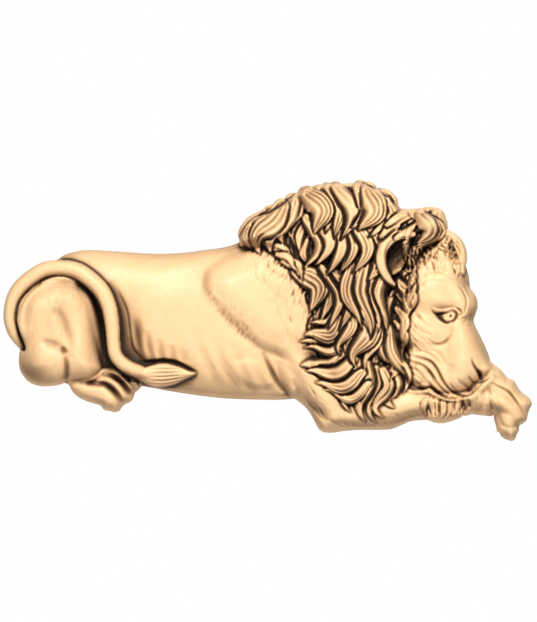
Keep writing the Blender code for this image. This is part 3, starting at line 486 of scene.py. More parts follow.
def eye(board):
    """The lids slant down from the outer corner, and the ball lies deep behind them."""
    swell(board, (177, -5.5), (13, 7), -5.5, turn=-18)
    button(board, (179.5, -6.0), (7.0, 5.8), 5.0)
    swell(board, (171, -6.6), (5, 3.6), -3.2, turn=-35)
    upper_lid = [(163, 2), (167, -0.6), (172, -1.4), (177, -0.4), (182, 1.0), (186, 0.6), (189, -3)]
    ridge(board, upper_lid, height=2.4, width=1.2)
    over_lid = [(162, 4), (170, 2.0), (180, 2.8), (187, 2.4)]
    crease(board, over_lid, depth=1.2, width=0.8)
    upper_slit = [(162, 1), (165, -2.8), (169, -4.2), (175.6, -3.2), (180.6, -1.8), (184, -1.4)]
    crease(board, upper_slit, depth=4.2, width=0.9)
    lower_slit = [(167, -3.6), (169.5, -6), (172.7, -9.4), (177, -12.6), (180.6, -11.8), (185, -11)]
    crease(board, lower_slit, depth=4.2, width=1.0)
    front_of_ball = [(183.6, -0.6), (187, -2.6), (187.6, -6.2), (185.4, -9.6), (182.6, -12)]
    crease(board, front_of_ball, depth=4.4, width=1.0)
    inner_corner = [(186, 2), (190.6, 0), (191.8, -3.6), (190.2, -7.4)]
    crease(board, inner_corner, depth=4.6, width=1.0)
    lower_lid = [(167, -8), (172, -13), (177, -15.6), (183, -14)]
    ridge(board, lower_lid, height=1.3, width=1.1)
    tear_line = [(183, -13), (182.4, -20), (181, -27)]
    crease(board, tear_line, depth=2.4, width=1.6)
    button(board, (181.6, -6.1), (1.5, 1.5), -4.4)


def nose(board):
    """The nostril, the whisker lines and the folds of the cheek."""
    wing = [(203, -47), (203.6, -52), (206.5, -58), (210, -63), (212.5, -70)]
    crease(board, wing, depth=5.5, width=1.0)
    tip_of_nose = [((210.8, -64), (2.6, 5.5), -7, 20), ((218, -57), (6, 8), 2.5, 20)]
    swells(board, tip_of_nose)
    under_nose = [(205, -72), (211, -72), (218, -69), (223, -64)]
    crease(board, under_nose, depth=3.0, width=1.0)
    chin_edge = [(198, -90), (206, -84), (212, -78), (219, -71), (225, -65)]
    ridge(board, chin_edge, height=7, width=4.0)
    whiskers = [(188, -67, 10, 11), (199, -65, 8, 9), (180, -72, 10, 10), (193, -69, 8, 10)]
    for x, z, across, down in whiskers:
        whisker = [(x, z), (x + across * 0.35, z - down * 0.5), (x + across, z - down)]
        crease(board, whisker, depth=3.2, width=0.8)
    cheek_fold = [(182, -24), (179, -29), (173, -33.5), (166, -34), (160, -31)]
    crease(board, cheek_fold, depth=2.8, width=1.4)
    lip_fold = [(158, -40), (168, -42), (174, -48), (177, -57)]
    crease(board, lip_fold, depth=1.8, width=2.0)
    cheeks = [((188, -24), (5, 14), -1.6, 0), ((168, -24), (12, 9), 2.2, 0),
              ((192, -58), (12, 14), 1.6, 0)]
    swells(board, cheeks)


def mouth(board):
    """The lips, and the folds beside them, each a thin cut that runs along the one before."""
    swell(board, (138, -38), (8, 6), -9)
    lip = [(134, -43), (144, -46), (154, -48), (163, -52), (169, -60), (174, -70), (180, -78), (187, -83),
           (196, -85.5), (203, -83), (209, -77), (214, -70)]
    crease(board, lip, depth=5.0, width=1.1)
    folds = [
        ([(134, -48), (144, -52), (154, -55), (162, -63), (168, -73), (176, -81), (186, -85)], 4.4),
        ([(136, -54), (146, -59), (154, -66), (160, -74), (168, -81), (178, -86), (190, -89)], 3.4),
        ([(146, -40), (157, -42), (167, -48), (173, -57)], 2.6),
        ([(138, -60), (148, -66), (156, -74)], 2.4),
        ([(134, -76), (146, -78.5), (156, -78), (163, -77), (170, -83), (179, -87.5), (190, -88.5)], 5.0),
        ([(136, -81), (149, -83), (160, -84), (170, -89), (181, -91.5), (194, -90)], 4.0),
        ([(140, -70), (148, -73), (156, -72)], 2.2),
        ([(150, -87), (160, -86.5), (170, -90)], 2.6),
    ]
    softer, width = 0.85, 1.2
    for path, depth in folds:
        crease(board, path, depth * softer, width)
    upper_roll = [(140, -49), (152, -52), (161, -57.5), (167, -66), (173, -75), (181, -82)]
    ridge(board, upper_roll, height=1.8, width=1.3)
    lower_roll = [(150, -80), (161, -80), (170, -86), (180, -89.8), (191, -89.5), (201, -86), (208, -79)]
    ridge(board, lower_roll, height=3.5, width=1.4)
    swell(board, (150, -70), (9, 7), 2.0, turn=-30)


def far_ear(board):
    """The ear on the other side, hollow, with a rim and tufts."""
    outline = [(176, 80), (186, 76.5), (193, 70), (197, 62), (198.5, 54), (197.5, 45), (196, 35), (188, 36),
               (178, 46), (170, 58), (168, 70)]
    win, inside = depth_inside(board, outline, 8)
    floor, rise, bevel = 30, 14, 8
    surface = floor + rise * np.sqrt(1 - (1 - np.clip(inside / bevel, 0, 1)) ** 2)
    board.join(win, surface, inside, 4)
    swell(board, (184, 58), (6, 15), -12, turn=20)
    rim = [(180, 77), (189, 71), (194.5, 60), (195, 46)]
    ridge(board, rim, height=3, width=2.2)
    mass = np.maximum(board.h, 20.0)
    rng = np.random.default_rng(SEED + 3)
    for k in range(16):
        root = (178 + 0.9 * k + rng.uniform(-3, 3), 73 - 2.1 * k + rng.uniform(-3, 3))
        tip = (root[0] + rng.uniform(-4, 2), root[1] - rng.uniform(7, 12))
        bend, width = (rng.uniform(-2, 2), 0), rng.uniform(3, 4.5)
        lock(board, mass, root, tip, bend, width, 1, flutes=1, moat=(2.4, 1.2))


def beard(board):
    """The short locks under the chin."""
    outline = [(152, -84), (154, -94), (157, -104), (160, -110), (170, -113), (178, -112.5), (186, -110),
               (193, -107), (196, -102), (197, -88), (190, -80), (172, -80)]
    pillow(board, outline, crown=44, bevel=12, floor=20, fillet=3)
    mass = np.maximum(board.h, 24.0)
    rng = np.random.default_rng(SEED + 2)
    count, skip = 8, 5
    for k in range(count):
        at = (k * skip % count) / (count - 1)
        root = (158 + 36 * at + rng.uniform(-2, 2), -88 + rng.uniform(-2, 2))
        tip = (157 + 36 * at + rng.uniform(-3, 3), -113 + 9 * (2 * at - 0.9) ** 2 + rng.uniform(-1, 2))
        bend, width = (rng.uniform(-4, 4), 0), rng.uniform(7, 10)
        lock(board, mass, root, tip, bend, width, -5, flutes=2, moat=(0.4, 1.2))


LATE = 1.25                                         # a bend lies nearer the tip of a lock than its root
S_BEND = 0.7                                        # how much of an S bend is used
THICKEST = 19                                       # a broader lock stands out no further than this one
ROOT_FULL = 0.25                                    # share of the length that is already drawn at the root
SWELLING = 0.50                                     # share over which a lock widens
TAPER = 0.50                                        # share over which it narrows to its point
ROUND = 0.60                                        # height of a lock's section, in shares of its width
LEAN = 0.24                                         # how much its outer side stands above the inner one
FLUTE = 0.19                                        # depth of the cuts between its strands


def bowed(root, tip, bows):
    """A curve from root to tip, bowed to its left in an arc by the first amount and in an S by the second."""
    leg = np.subtract(tip, root)
    length = math.hypot(*leg)
    left = np.array((-leg[1], leg[0])) / length
    t = np.linspace(0, 1, max(8, int(length / STRAND)))[:, None]
    late = t**LATE
    bend = bows[0] * np.sin(np.pi * late) + S_BEND * bows[1] * np.sin(2 * np.pi * late)
    return np.add(root, leg * t) + left * bend


def lock(board, mass, root, tip, bows, width, lift, flutes, moat=(3.2, 2.6)):
    """A lock of hair, whose strands swell over the mass, lean over its bend and end in a point."""
    path = bowed(root, tip, bows)
    win, t, d, _ = along(board, path, width / 2 + moat[1] + 2)
    widening = np.clip((t + ROOT_FULL) / SWELLING, 0, 1) ** 0.6
    narrowing = np.clip((1 - t) / TAPER, 0, 1) ** 0.8
    half = np.maximum(width / 2 * widening * narrowing, 0.25)
    u = np.clip(d / half, -1, 1)
    outer = 1.0 if bows[0] >= 0 else -1.0
    within = 1 - u**2
    arch = np.sin(np.pi * np.clip(t * 0.80 + 0.16, 0, 1))
    drift = (0.30 * outer + 0.20 * np.sin(3 * t + root[0])) * within
    strands = np.abs(np.sin(np.pi * flutes / 2 * (u - drift + 1))) ** 1.5
    crown = (ROUND * within**0.75 + LEAN * outer * u * within**0.5) * (0.3 + 0.7 * arch)
    full = np.clip(half / 4.0, 0.1, 1)
    tall = min(width, THICKEST)
    body = mass[win] + lift * arch + tall * crown - tall * FLUTE * (1 - strands) * full
    board.lay_over(win, body, half - np.abs(d), *moat)


MANE = [(-28, 64), (-24, 81), (-14, 92), (2, 97), (16, 106), (27, 116), (38, 122), (56, 126), (74, 126),
        (92, 127), (106, 121), (118, 121), (128, 113), (132, 102), (148, 101), (160, 103), (172, 101),
        (177, 94), (179, 80), (170, 68), (160, 58), (150, 46), (142, 33), (141, 18), (134, 8), (131, -8),
        (128, -20), (132, -36), (136, -56), (140, -78), (128, -90), (112, -96), (98, -104), (86, -98),
        (70, -88), (58, -78), (54, -64), (42, -52), (38, -38), (44, -28), (38, -18), (42, -8), (36, 6),
        (28, 20), (14, 35), (2, 46), (-8, 58)]

# Each row of locks runs from a curve of roots to a curve of tips: roots, tips, how many, width, bows, lift.
ROWS = [
    ([(84, -42), (108, -58), (132, -62)], [(80, -98), (104, -110), (134, -94)], 5, 16, (-3, 8), 1),
    ([(77, -34), (88, -54), (102, -76)], [(34, -50), (46, -66), (58, -82)], 4, 16, (10, 6), 3),
    ([(66, 8), (72, -10), (76, -28)], [(39, -14), (36, -26), (38, -42)], 4, 13, (9, 5), 2),
    ([(106, -14), (124, -20)], [(118, -68), (136, -78)], 3, 15, (3, -8), 2),
    ([(68, 6), (88, 4), (106, -6)], [(66, -46), (86, -52), (100, -58)], 4, 16, (5, 9), 4),
    ([(26, 38), (48, 42), (68, 38)], [(42, -4), (54, -14), (72, -14)], 4, 16, (12, 3), 4),
    ([(134, 46), (130, 12), (125, -20)], [(143, 12), (137, -22), (132, -56)], 5, 11, (3, 5), 3),
    ([(76, 44), (98, 46), (124, 38)], [(88, -14), (106, -22), (122, -16)], 4, 17, (-8, -7), 5),
    ([(0, 66), (10, 54), (20, 44)], [(20, 46), (28, 36), (34, 28)], 3, 12, (5, 2), 3),
    ([(30, 92), (60, 90), (102, 82)], [(28, 40), (58, 36), (104, 30)], 6, 18, (13, 2), 6),
    ([(-10, 88), (14, 103), (40, 115)], [(-25, 66), (-8, 60), (20, 60)], 5, 18, (-7, 4), 6),
    ([(34, 114), (54, 121), (74, 123)], [(42, 72), (60, 70), (78, 74)], 4, 18, (12, 3), 7),
    ([(88, 122), (104, 118), (120, 105)], [(76, 84), (94, 70), (114, 70)], 4, 18, (14, 3), 7),
]


BROAD_SHARE = 0.35                                  # how many locks of a row are broad ones
BROADER = 1.5


def row_of_locks(board, mass, row, rng):
    """A row of locks whose roots and tips lie along two curves, some of them broad and most narrow."""
    roots, tips, count, width, bows, lift = row
    starts, ends = through(roots), through(tips)
    places = (np.arange(count) + 0.5 + rng.uniform(-0.2, 0.2, count)) / count
    for at in rng.permutation(places):
        root, tip = (np.array([np.interp(at, np.linspace(0, 1, len(line)), line[:, c]) for c in (0, 1)])
                     for line in (starts, ends))
        tip = root + (tip - root) * rng.uniform(0.9, 1.12) + rng.uniform(-2, 2, 2)
        broad = rng.random() < BROAD_SHARE
        bend = np.array(bows) * rng.uniform(0.7, 1.3, 2)
        size = width * (BROADER if broad else rng.uniform(0.75, 1.1))
        high = lift + rng.uniform(-1.5, 1.5) + broad
        flutes = 4 if broad else rng.choice((2, 3))
        lock(board, mass, root, tip, bend, size, high, flutes)


def flow(x, z):
    """The way the hair lies there, as an angle in degrees from +x."""
    back = np.clip((30 - x) / 60, 0, 1) * np.clip((z - 40) / 40, 0, 1)
    front = np.clip((x - 120) / 50, 0, 1) * np.clip((z - 40) / 40, 0, 1)
    cheek = np.clip((x - 100) / 40, 0, 1) * np.clip((30 - z) / 40, 0, 1)
    return -92 - 40 * back - 45 * front + 22 * cheek


def undercoat(board, mass, rng):
    """Plain locks all over the mane, which show deep between the large ones."""
    loop = through(MANE, closed=True)
    left, right, low, high = -30, 185, -92, 124
    spacing_x, spacing_z = 14.0, 15.0
    for row, z in enumerate(np.arange(low, high, spacing_z)):
        for x in np.arange(left + spacing_x / 2 * (row % 2), right, spacing_x):
            middle = np.array((x, z)) + rng.uniform(-2, 2, 2)
            angle = math.radians(flow(*middle) + rng.uniform(-18, 18))
            reach = rng.uniform(14, 18) * np.array((math.cos(angle), math.sin(angle)))
            ends = np.array((middle - reach, middle + reach))
            bow = rng.uniform(2, 5) * rng.choice((-1, 1))
            if encloses(loop, ends[:, 0], ends[:, 1]).all():
                lock(board, mass, *ends, (bow, bow / 3), rng.uniform(11, 14), -9, flutes=2, moat=(2, 2))


def near_ear(board, rng):
    """The ear on this side: a hollow with a rounded rim that stands out of the mane, and hair in it."""
    centre, radii, turn = (125, 54), (13, 20), -12
    win = board.window(centre, centre, 26)
    u, v = turned(board, win, centre, radii, turn)
    q = np.hypot(u, v)
    bowl = 41 + 14 * np.clip(q, 0, 1) ** 2 + 4 * np.clip(u, -1, 1)
    board.lay_over(win, bowl, (1 - q) * 16, moat_depth=3, moat_width=2)
    mass = np.maximum(board.h, 30.0)
    for k in range(16):
        root = (139 - 0.4 * abs(k - 8) + rng.uniform(-2, 3), 74 - 2.6 * k)
        tip = (root[0] - rng.uniform(2, 18), root[1] - rng.uniform(8, 16))
        bend, width = (rng.uniform(-4, 4), 0), rng.uniform(2, 3.5)
        lock(board, mass, root, tip, bend, width, -1, flutes=1, moat=(1.6, 1.2))
    for k in range(4):
        root = (138 + rng.uniform(-2, 3), 74 - 11 * k)
        tip = (root[0] + rng.uniform(-2, 5), root[1] - rng.uniform(22, 28))
        bend = (rng.uniform(-3, 3), rng.choice((-4, 4)))
        lock(board, mass, root, tip, bend, rng.uniform(6, 8), 6, flutes=1, moat=(3, 1.6))
    rim = [(144, 75, 3.5, 64), (134, 75, 5, 68), (124, 72, 5.5, 71), (115, 63, 6, 72), (112, 52, 5.8, 72),
           (114, 40, 5, 71), (120, 30, 4, 67), (125, 25, 2.5, 62)]
    tube(board, rim, moat=(6, 3))
    inner_edge = [(134, 72), (122, 67), (117, 56), (118, 44), (122, 34)]
    crease(board, inner_edge, depth=2.4, width=1.6)


def forelock(board, mass):
    """The hair that sweeps over the ear, and the curl above the forehead."""
    sweeps = [((112, 72), (146, 94), (4, 1), 10), ((118, 84), (154, 98), (4, 1), 10),
              ((126, 72), (149, 90), (-3, 0), 8), ((138, 68), (147, 86), (3, 0), 7)]
    for root, tip, bows, width in sweeps:
        lock(board, mass, root, tip, bows, width, 5, flutes=2)
    for step in range(3):
        root, tip = (143 + 4 * step, 97 - step), (146 + step, 60 + 3 * step)
        bows, width, flutes = (27 - 8 * step, 3 - step), 12 + 4 * step, (1, 2, 2)[step]
        lock(board, mass, root, tip, bows, width, 5 + step, flutes, moat=(1.6, 1.6))


def hairline(board, rng):
    """Short tufts that stick out of the mane over the forehead."""
    edge_spacing = 3
    edge = through([(177, 62), (165, 59), (153, 57), (145, 50), (141, 38), (141, 28)])
    mass = np.maximum(board.h, 32.0)
    for layer in (0, 2):
        for place in edge[layer:-1:edge_spacing]:
            share = np.clip((place[0] - 138) / 30, 0, 1)
            angle = math.radians(-100 + 42 * share + rng.normal(0, 16))
            length = rng.uniform(8, 16) + 8 * (1 - share)
            reach = length * np.array((math.cos(angle), math.sin(angle)))
            root = place - reach * 0.45 + rng.uniform(-2, 2, 2)
            bend = (rng.uniform(-2, 2), rng.uniform(-2, 2))
            width = rng.uniform(3.4, 5.0) + 2.4 * (1 - share)
            lock(board, mass, root, root + reach, bend, width, 2, flutes=1, moat=(2.4, 1.4))


def mane(board):
    """The mane as one mass, and the locks over it from the lowest to the foremost."""
    rng = np.random.default_rng(SEED)
    pillow(board, MANE, crown=60, bevel=44, floor=24, fillet=4)
    mass = np.maximum(board.h, 12.0)
    undercoat(board, mass, rng)
    hairline(board, rng)
    for row in ROWS:
        row_of_locks(board, mass, row, rng)
    near_ear(board, rng)
    forelock(board, mass)


# Patches of short hairs: outline, how many, length, depth, way they lie at the left and at the right end.
BODY_FUR = [
    ([(-14, 66), (6, 58), (24, 44), (38, 26), (46, 0), (48, -36), (40, -36), (34, -4), (22, 22), (4, 40),
      (-18, 56)],
     260, 7, 1.2, -140, -85),
    ([(-62, 24), (-50, 24), (-26, -8), (-10, -30), (-24, -30), (-44, -10), (-58, 6)],
     90, 6, 0.9, -125, -105),
    ([(-6, 60), (14, 44), (34, 30), (44, -4), (46, -34), (22, -42), (10, -6), (-2, 20), (-24, 44)],
     240, 10, 0.8, -70, -95),
    ([(44, -56), (60, -90), (90, -102), (120, -104), (150, -98), (150, -110), (100, -117), (60, -118),
      (36, -90)],
     190, 9, 0.8, -60, -15),
    ([(192, -84), (206, -78), (222, -76), (232, -88), (226, -103), (194, -103)],
     160, 9, 0.9, -95, -70),
    ([(-152, -61), (-138, -64), (-127, -70), (-128, -76), (-138, -72), (-150, -66)],
     30, 7, 3.0, -30, -45),
    ([(-20, -44), (2, -58), (12, -76), (-30, -84), (-60, -70), (-50, -40)],
     60, 10, 0.35, -75, -60),
    ([(-190, 56), (-100, 54), (-40, 58), (-70, 20), (-60, -30), (0, -60), (-60, -80), (-130, -66), (-130, 0)],
     300, 8, 0.25, -50, -80),
    ([(-244, -50), (-236, 16), (-204, 28), (-180, 10), (-170, -60), (-220, -72)],
     240, 8, 0.4, -110, -80),
]
FACE_FUR = [
    ([(132, 4), (148, -2), (160, -16), (160, -36), (150, -44), (134, -38), (128, -18)],
     320, 11, 0.7, -100, -25),
    ([(138, 40), (146, 54), (164, 60), (180, 54), (178, 40), (160, 34), (144, 8), (134, 10)],
     260, 8, 1.2, -105, -60),
    ([(134, -46), (152, -52), (162, -60), (168, -78), (158, -84), (144, -82), (132, -70)],
     90, 8, 1.2, -35, -60),
    ([(178, 74), (190, 68), (196, 52), (194, 36), (184, 36), (174, 56)],
     90, 7, 1.2, -60, -80),
    ([(146, -88), (170, -90), (198, -88), (194, -106), (160, -110)],
     60, 7, 1.2, -100, -75),
]


def fur(board, outline, count, length, depth, lie_left, lie_right, rng):
    """Short hairs cut into a patch, which turn from one way at its left end to another at its right."""
    loop = np.array(outline + outline[:1], float)
    low, high = loop.min(0), loop.max(0)
    places = rng.uniform(low, high, (count * 3, 2))
    places = places[encloses(loop, places[:, 0], places[:, 1])][:count]
    for place in places:
        share = (place[0] - low[0]) / (high[0] - low[0])
        angle = math.radians(lie_left + (lie_right - lie_left) * share + rng.normal(0, 9))
        reach = length * rng.uniform(0.8, 1.7) / 2 * np.array((math.cos(angle), math.sin(angle)))
        path = bowed(place - reach, place + reach, (rng.uniform(-1.2, 1.2), 0))
        crease(board, path, depth * rng.uniform(0.4, 1.0), rng.uniform(0.5, 0.8))


def hairs(board, patches, seed):
    """Cuts the hairs of several patches."""
    rng = np.random.default_rng(seed)
    for patch in patches:
        fur(board, *patch, rng)


def carve():
    """Draws the whole lion, what lies behind first."""
    board = Board(RASTER)
    trunk(board)
    dome(board, (-216, -2), (46, 48), crown=30, fillet=6)
    flank(board)
    hind_paw(board)
    haunch(board)
    tail(board)
    tail_tuft(board)
    shoulder(board)
    foreleg(board)
    front_paws(board)
    hairs(board, BODY_FUR, SEED + 1)
    head(board)
    hairs(board, FACE_FUR, SEED + 4)
    mane(board)
    return board


def carried_out(board):
    """The heights, softened by a chisel's width, and carried out past the outline."""
    known = board.cover > 0
    heights = np.where(known, np.maximum(board.h, 0), 0.0)
    for _ in range(CARRY):
        total = np.zeros_like(heights)
        count = np.zeros_like(heights)
        for axis in (0, 1):
            for way in (-1, 1):
                total += np.roll(heights * known, way, axis)
                count += np.roll(known, way, axis)
        fresh = ~known & (count > 0)
        heights[fresh] = total[fresh] / count[fresh]
        known |= fresh
    for axis in (0, 1, 0, 1):
        heights = heights / 2 + (np.roll(heights, 1, axis) + np.roll(heights, -1, axis)) / 4
    return heights


def keep_largest(mesh):
    """Leaves only the largest sheet of joined faces."""
    left = set(mesh.faces)
    sheets = []
    while left:
        sheet = {left.pop()}
        edge = list(sheet)
        while edge:
            near = {g for f in edge for e in f.edges for g in e.link_faces if g in left}
            left -= near
            sheet |= near
            edge = list(near)
        sheets.append(sheet)
    largest = max(sheets, key=len)
    bmesh.ops.delete(mesh, geom=[f for f in mesh.faces if f not in largest], context="FACES")


def cut_to_outline(mesh, board):
    """Drops the faces outside the outline, and draws the ragged edge that is left onto it."""
    centres = np.array([f.calc_center_median() for f in mesh.faces])
    inside = board.sample(board.cover, centres[:, 0], centres[:, 2]) > 0
    bmesh.ops.delete(mesh, geom=[f for f, kept in zip(mesh.faces, inside) if not kept], context="FACES")
    keep_largest(mesh)
    pinched = True
    while pinched:
        pinched = [v for v in mesh.verts if sum(e.is_boundary for e in v.link_edges) > 2]
        bmesh.ops.delete(mesh, geom=pinched, context="VERTS")
    border = [v for v in mesh.verts if v.is_boundary]
    x, z = (np.array([v.co[axis] for v in border]) for axis in (0, 2))
    for _ in range(4):
        depth = board.sample(board.cover, x, z)
        slope_x = (board.sample(board.cover, x + 1, z) - board.sample(board.cover, x - 1, z)) / 2
        slope_z = (board.sample(board.cover, x, z + 1) - board.sample(board.cover, x, z - 1)) / 2
        reach = np.clip(depth / np.maximum(slope_x**2 + slope_z**2, 0.2), -CELL / 4, CELL / 4)
        x, z = x - reach * slope_x, z - reach * slope_z
    for vert, new_x, new_z in zip(border, x, z):
        vert.co = (new_x, 0, new_z)
    inner = [v for v in mesh.verts if not v.is_boundary]
    bmesh.ops.smooth_vert(mesh, verts=inner, factor=0.5, use_axis_x=True, use_axis_z=True)


def carved_face(board, heights):
    """The carved front: an open sheet, cut to the outline and raised to the height map."""
    mesh = bmesh.new()
    columns, rows = int((X_HIGH - X_LOW) / CELL), int((Z_HIGH - Z_LOW) / CELL)
    bmesh.ops.create_grid(mesh, x_segments=columns, y_segments=rows, size=0.5)
    for vert in mesh.verts:
        across, up = vert.co.x + 0.5, vert.co.y + 0.5
        vert.co = (X_LOW + across * (X_HIGH - X_LOW), 0, Z_LOW + up * (Z_HIGH - Z_LOW))
    cut_to_outline(mesh, board)
    places = np.array([v.co for v in mesh.verts])
    height = np.maximum(board.sample(heights, places[:, 0], places[:, 2]), 0)
    over = np.clip(height - EASED, 0, None)
    room = TALLEST - EASED
    height = np.minimum(height, EASED) + room * (1 - np.exp(-over / room))
    thickness = RIM + (DEPTH - RIM) * height / TALLEST
    for vert, place, thick in zip(mesh.verts, places, thickness):
        vert.co = (place[0] * UNIT, -thick, place[2] * UNIT)
    face = bpy.data.meshes.new("carved_face")
    mesh.to_mesh(face)
    mesh.free()
    return face


def thinned(face):
    """The same sheet with fewer triangles, kept where the carving needs them."""
    face.calc_loop_triangles()
    holder = bpy.data.objects.new("carved_face", face)
    bpy.context.scene.collection.objects.link(holder)
    thin = holder.modifiers.new("Thin", "DECIMATE")
    thin.ratio = TRIANGLES / len(face.loop_triangles)
    thin.use_collapse_triangulate = True
    bpy.context.view_layer.update()
    result = bpy.data.meshes.new_from_object(holder.evaluated_get(bpy.context.evaluated_depsgraph_get()))
    bpy.data.objects.remove(holder)
    return result


def unfold(mesh):
    """Evens out the few triangles that thinning has turned over, and closes up those that stay so."""
    for turn in range(UNFOLDING):
        mesh.normal_update()
        folded = [f for f in mesh.faces if f.normal.y > -STEEPEST]
        if not folded:
            break
        if turn % CLOSING == CLOSING - 1:
            short = {min(f.edges, key=lambda e: e.calc_length()) for f in folded}
            bmesh.ops.collapse(mesh, edges=list(short))
            continue
        loose = {v for f in folded for v in f.verts if not v.is_boundary}
        bmesh.ops.smooth_vert(mesh, verts=list(loose), factor=0.5,
                              use_axis_x=True, use_axis_y=True, use_axis_z=True)


def solid_from(face):
    """Gives the carved sheet its upright edge and its flat back."""
    mesh = bmesh.new()
    mesh.from_mesh(face)
    unfold(mesh)
    border = [e for e in mesh.edges if e.is_boundary]
    made = bmesh.ops.extrude_edge_only(mesh, edges=border)["geom"]
    for vert in (g for g in made if isinstance(g, bmesh.types.BMVert)):
        vert.co.y = 0
    back = [g for g in made if isinstance(g, bmesh.types.BMEdge) and g.is_boundary]
    bmesh.ops.triangle_fill(mesh, edges=back, normal=(0, 1, 0), use_beauty=True)
    bmesh.ops.triangulate(mesh, faces=mesh.faces[:])
    bmesh.ops.recalc_face_normals(mesh, faces=mesh.faces[:])
    solid = bpy.data.meshes.new("lion_carving")
    mesh.to_mesh(solid)
    mesh.free()
    return solid


def blurred(field, reach):
    """A map averaged over a square, three times, which comes close to a round blur."""
    n = max(1, int(round(reach / RASTER)))
    for axis in (0, 1) * 3:
        margins = [(n + 1, n) if a == axis else (0, 0) for a in (0, 1)]
        total = np.cumsum(np.pad(field, margins, mode="edge"), axis=axis)
        high = np.take(total, range(2 * n + 1, total.shape[axis]), axis)
        low = np.take(total, range(0, total.shape[axis] - 2 * n - 1), axis)
        field = (high - low) / (2 * n + 1)
    return field


# Patches of painted shade over whole forms, painted lighter where the amount is negative: middle, radii, how
# much.
SHADE_PATCHES = [
    ((-232, -56), (26, 26), 0.20), ((-238, -8), (18, 40), 0.06), ((-160, -86), (40, 22), 0.14),
    ((-176, -30), (16, 40), 0.08), ((-216, -14), (30, 36), 0.12), ((-198, 10), (16, 18), 0.12),
    ((-247, -22), (5, 24), -0.20), ((-173, -4), (9, 28), 0.18),
    ((-130, -24), (14, 32), 0.20), ((-124, -42), (22, 16), 0.12), ((-128, -65), (10, 7), 0.18),
    ((-46, -70), (70, 18), 0.14), ((-62, 26), (8, 22), 0.22), ((88, -98), (60, 12), 0.14),
    ((70, -117), (26, 6), -0.12), ((208, -94), (20, 12), 0.08), ((240, -92), (24, 24), 0.10),
    ((60, -30), (60, 60), 0.10), ((72, 24), (46, 44), 0.22), ((50, 84), (50, 24), 0.06),
    ((76, -44), (40, 40), 0.06), ((26, 64), (8, 12), 0.22), ((62, 40), (14, 7), 0.18),
    ((110, 62), (7, 14), 0.25), ((68, -26), (8, 12), 0.18), ((118, -30), (7, 14), 0.18),
    ((158, 82), (18, 18), -0.08), ((148, -62), (22, 22), 0.09), ((158, 52), (26, 12), 0.14),
    ((140, 24), (10, 30), 0.10), ((134, 50), (14, 20), 0.14), ((138, -22), (14, 24), 0.14),
    ((136, -38), (9, 6), 0.20), ((176, -100), (24, 12), 0.26), ((194, -80), (22, 8), -0.18),
]


# Dark patina and painted shade in cuts and hollows: hollows of this reach, the depth at which one is full,
# and how much it counts.
HOLLOWS = [(1.0, 1.0, 0.12), (2.0, 3.0, 0.26), (5.0, 11.0, 0.46), (12.0, 18.0, 0.28)]
# Painted shade on steep sides and on sides that face down, and how much lighter the raised tops are made
STEEP_SIDES, LOWER_SIDES, LIGHTER_TOPS = 0.36, 0.12, 0.12
# How much deeper the patina and painted shade lie inside the mane
MANE_DARKER = 0.65


def patina_and_shade_map(board, heights):
    """How dark the patina and painted shade lie, 0 to 1, in cuts and hollows and on steep sides, most of all
    in the mane.
    """
    # patina and painted shade in the cuts and hollows; the wider hollows get soft painted shade
    dark = sum(share * np.clip((blurred(heights, reach) - heights) / depth, 0, 1)
               for reach, depth, share in HOLLOWS)
    # painted shade on steep sides and on sides that face down
    slope_z, slope_x = np.gradient(heights, board.step)
    steep = np.clip((np.hypot(slope_x, slope_z) - 0.5) / 2.6, 0, 1)
    lower = np.clip(blurred(slope_z, 2.0) - 0.15, 0, 1.2)
    dark = dark + STEEP_SIDES * steep + LOWER_SIDES * lower
    win, inside = depth_inside(board, MANE, 8)
    dark[win] *= 1 + MANE_DARKER * np.clip(inside / 10, 0, 1)
    # patches of painted shade, lighter where the amount is negative
    for (x, z), (across, up), amount in SHADE_PATCHES:
        dark += amount * np.exp(-2 * (((board.x - x) / across) ** 2 + ((board.z - z) / up) ** 2))
    within = np.clip(board.cover / 5.0, 0.3, 1)
    # raised tops are made lighter
    raised_top = np.clip((heights - blurred(heights, 3.0)) / 3.0, 0, 1)
    return np.clip((dark - LIGHTER_TOPS * raised_top) * within, 0, 1)


def paint(solid, board, heights):
    """Writes the patina and painted shade on the mesh as an attribute, read from the maps that the carving is
    made from.
    """
    patina_and_shade = patina_and_shade_map(board, heights)
    places = np.empty(len(solid.vertices) * 3)
    solid.vertices.foreach_get("co", places)
    places = places.reshape(-1, 3)
    values = board.sample(patina_and_shade, places[:, 0] / UNIT, places[:, 2] / UNIT)
    values[places[:, 1] > -1e-5] = 0
    layer = solid.attributes.new("patina_and_shade", "FLOAT", "POINT")
    layer.data.foreach_set("value", values.astype(np.float32))


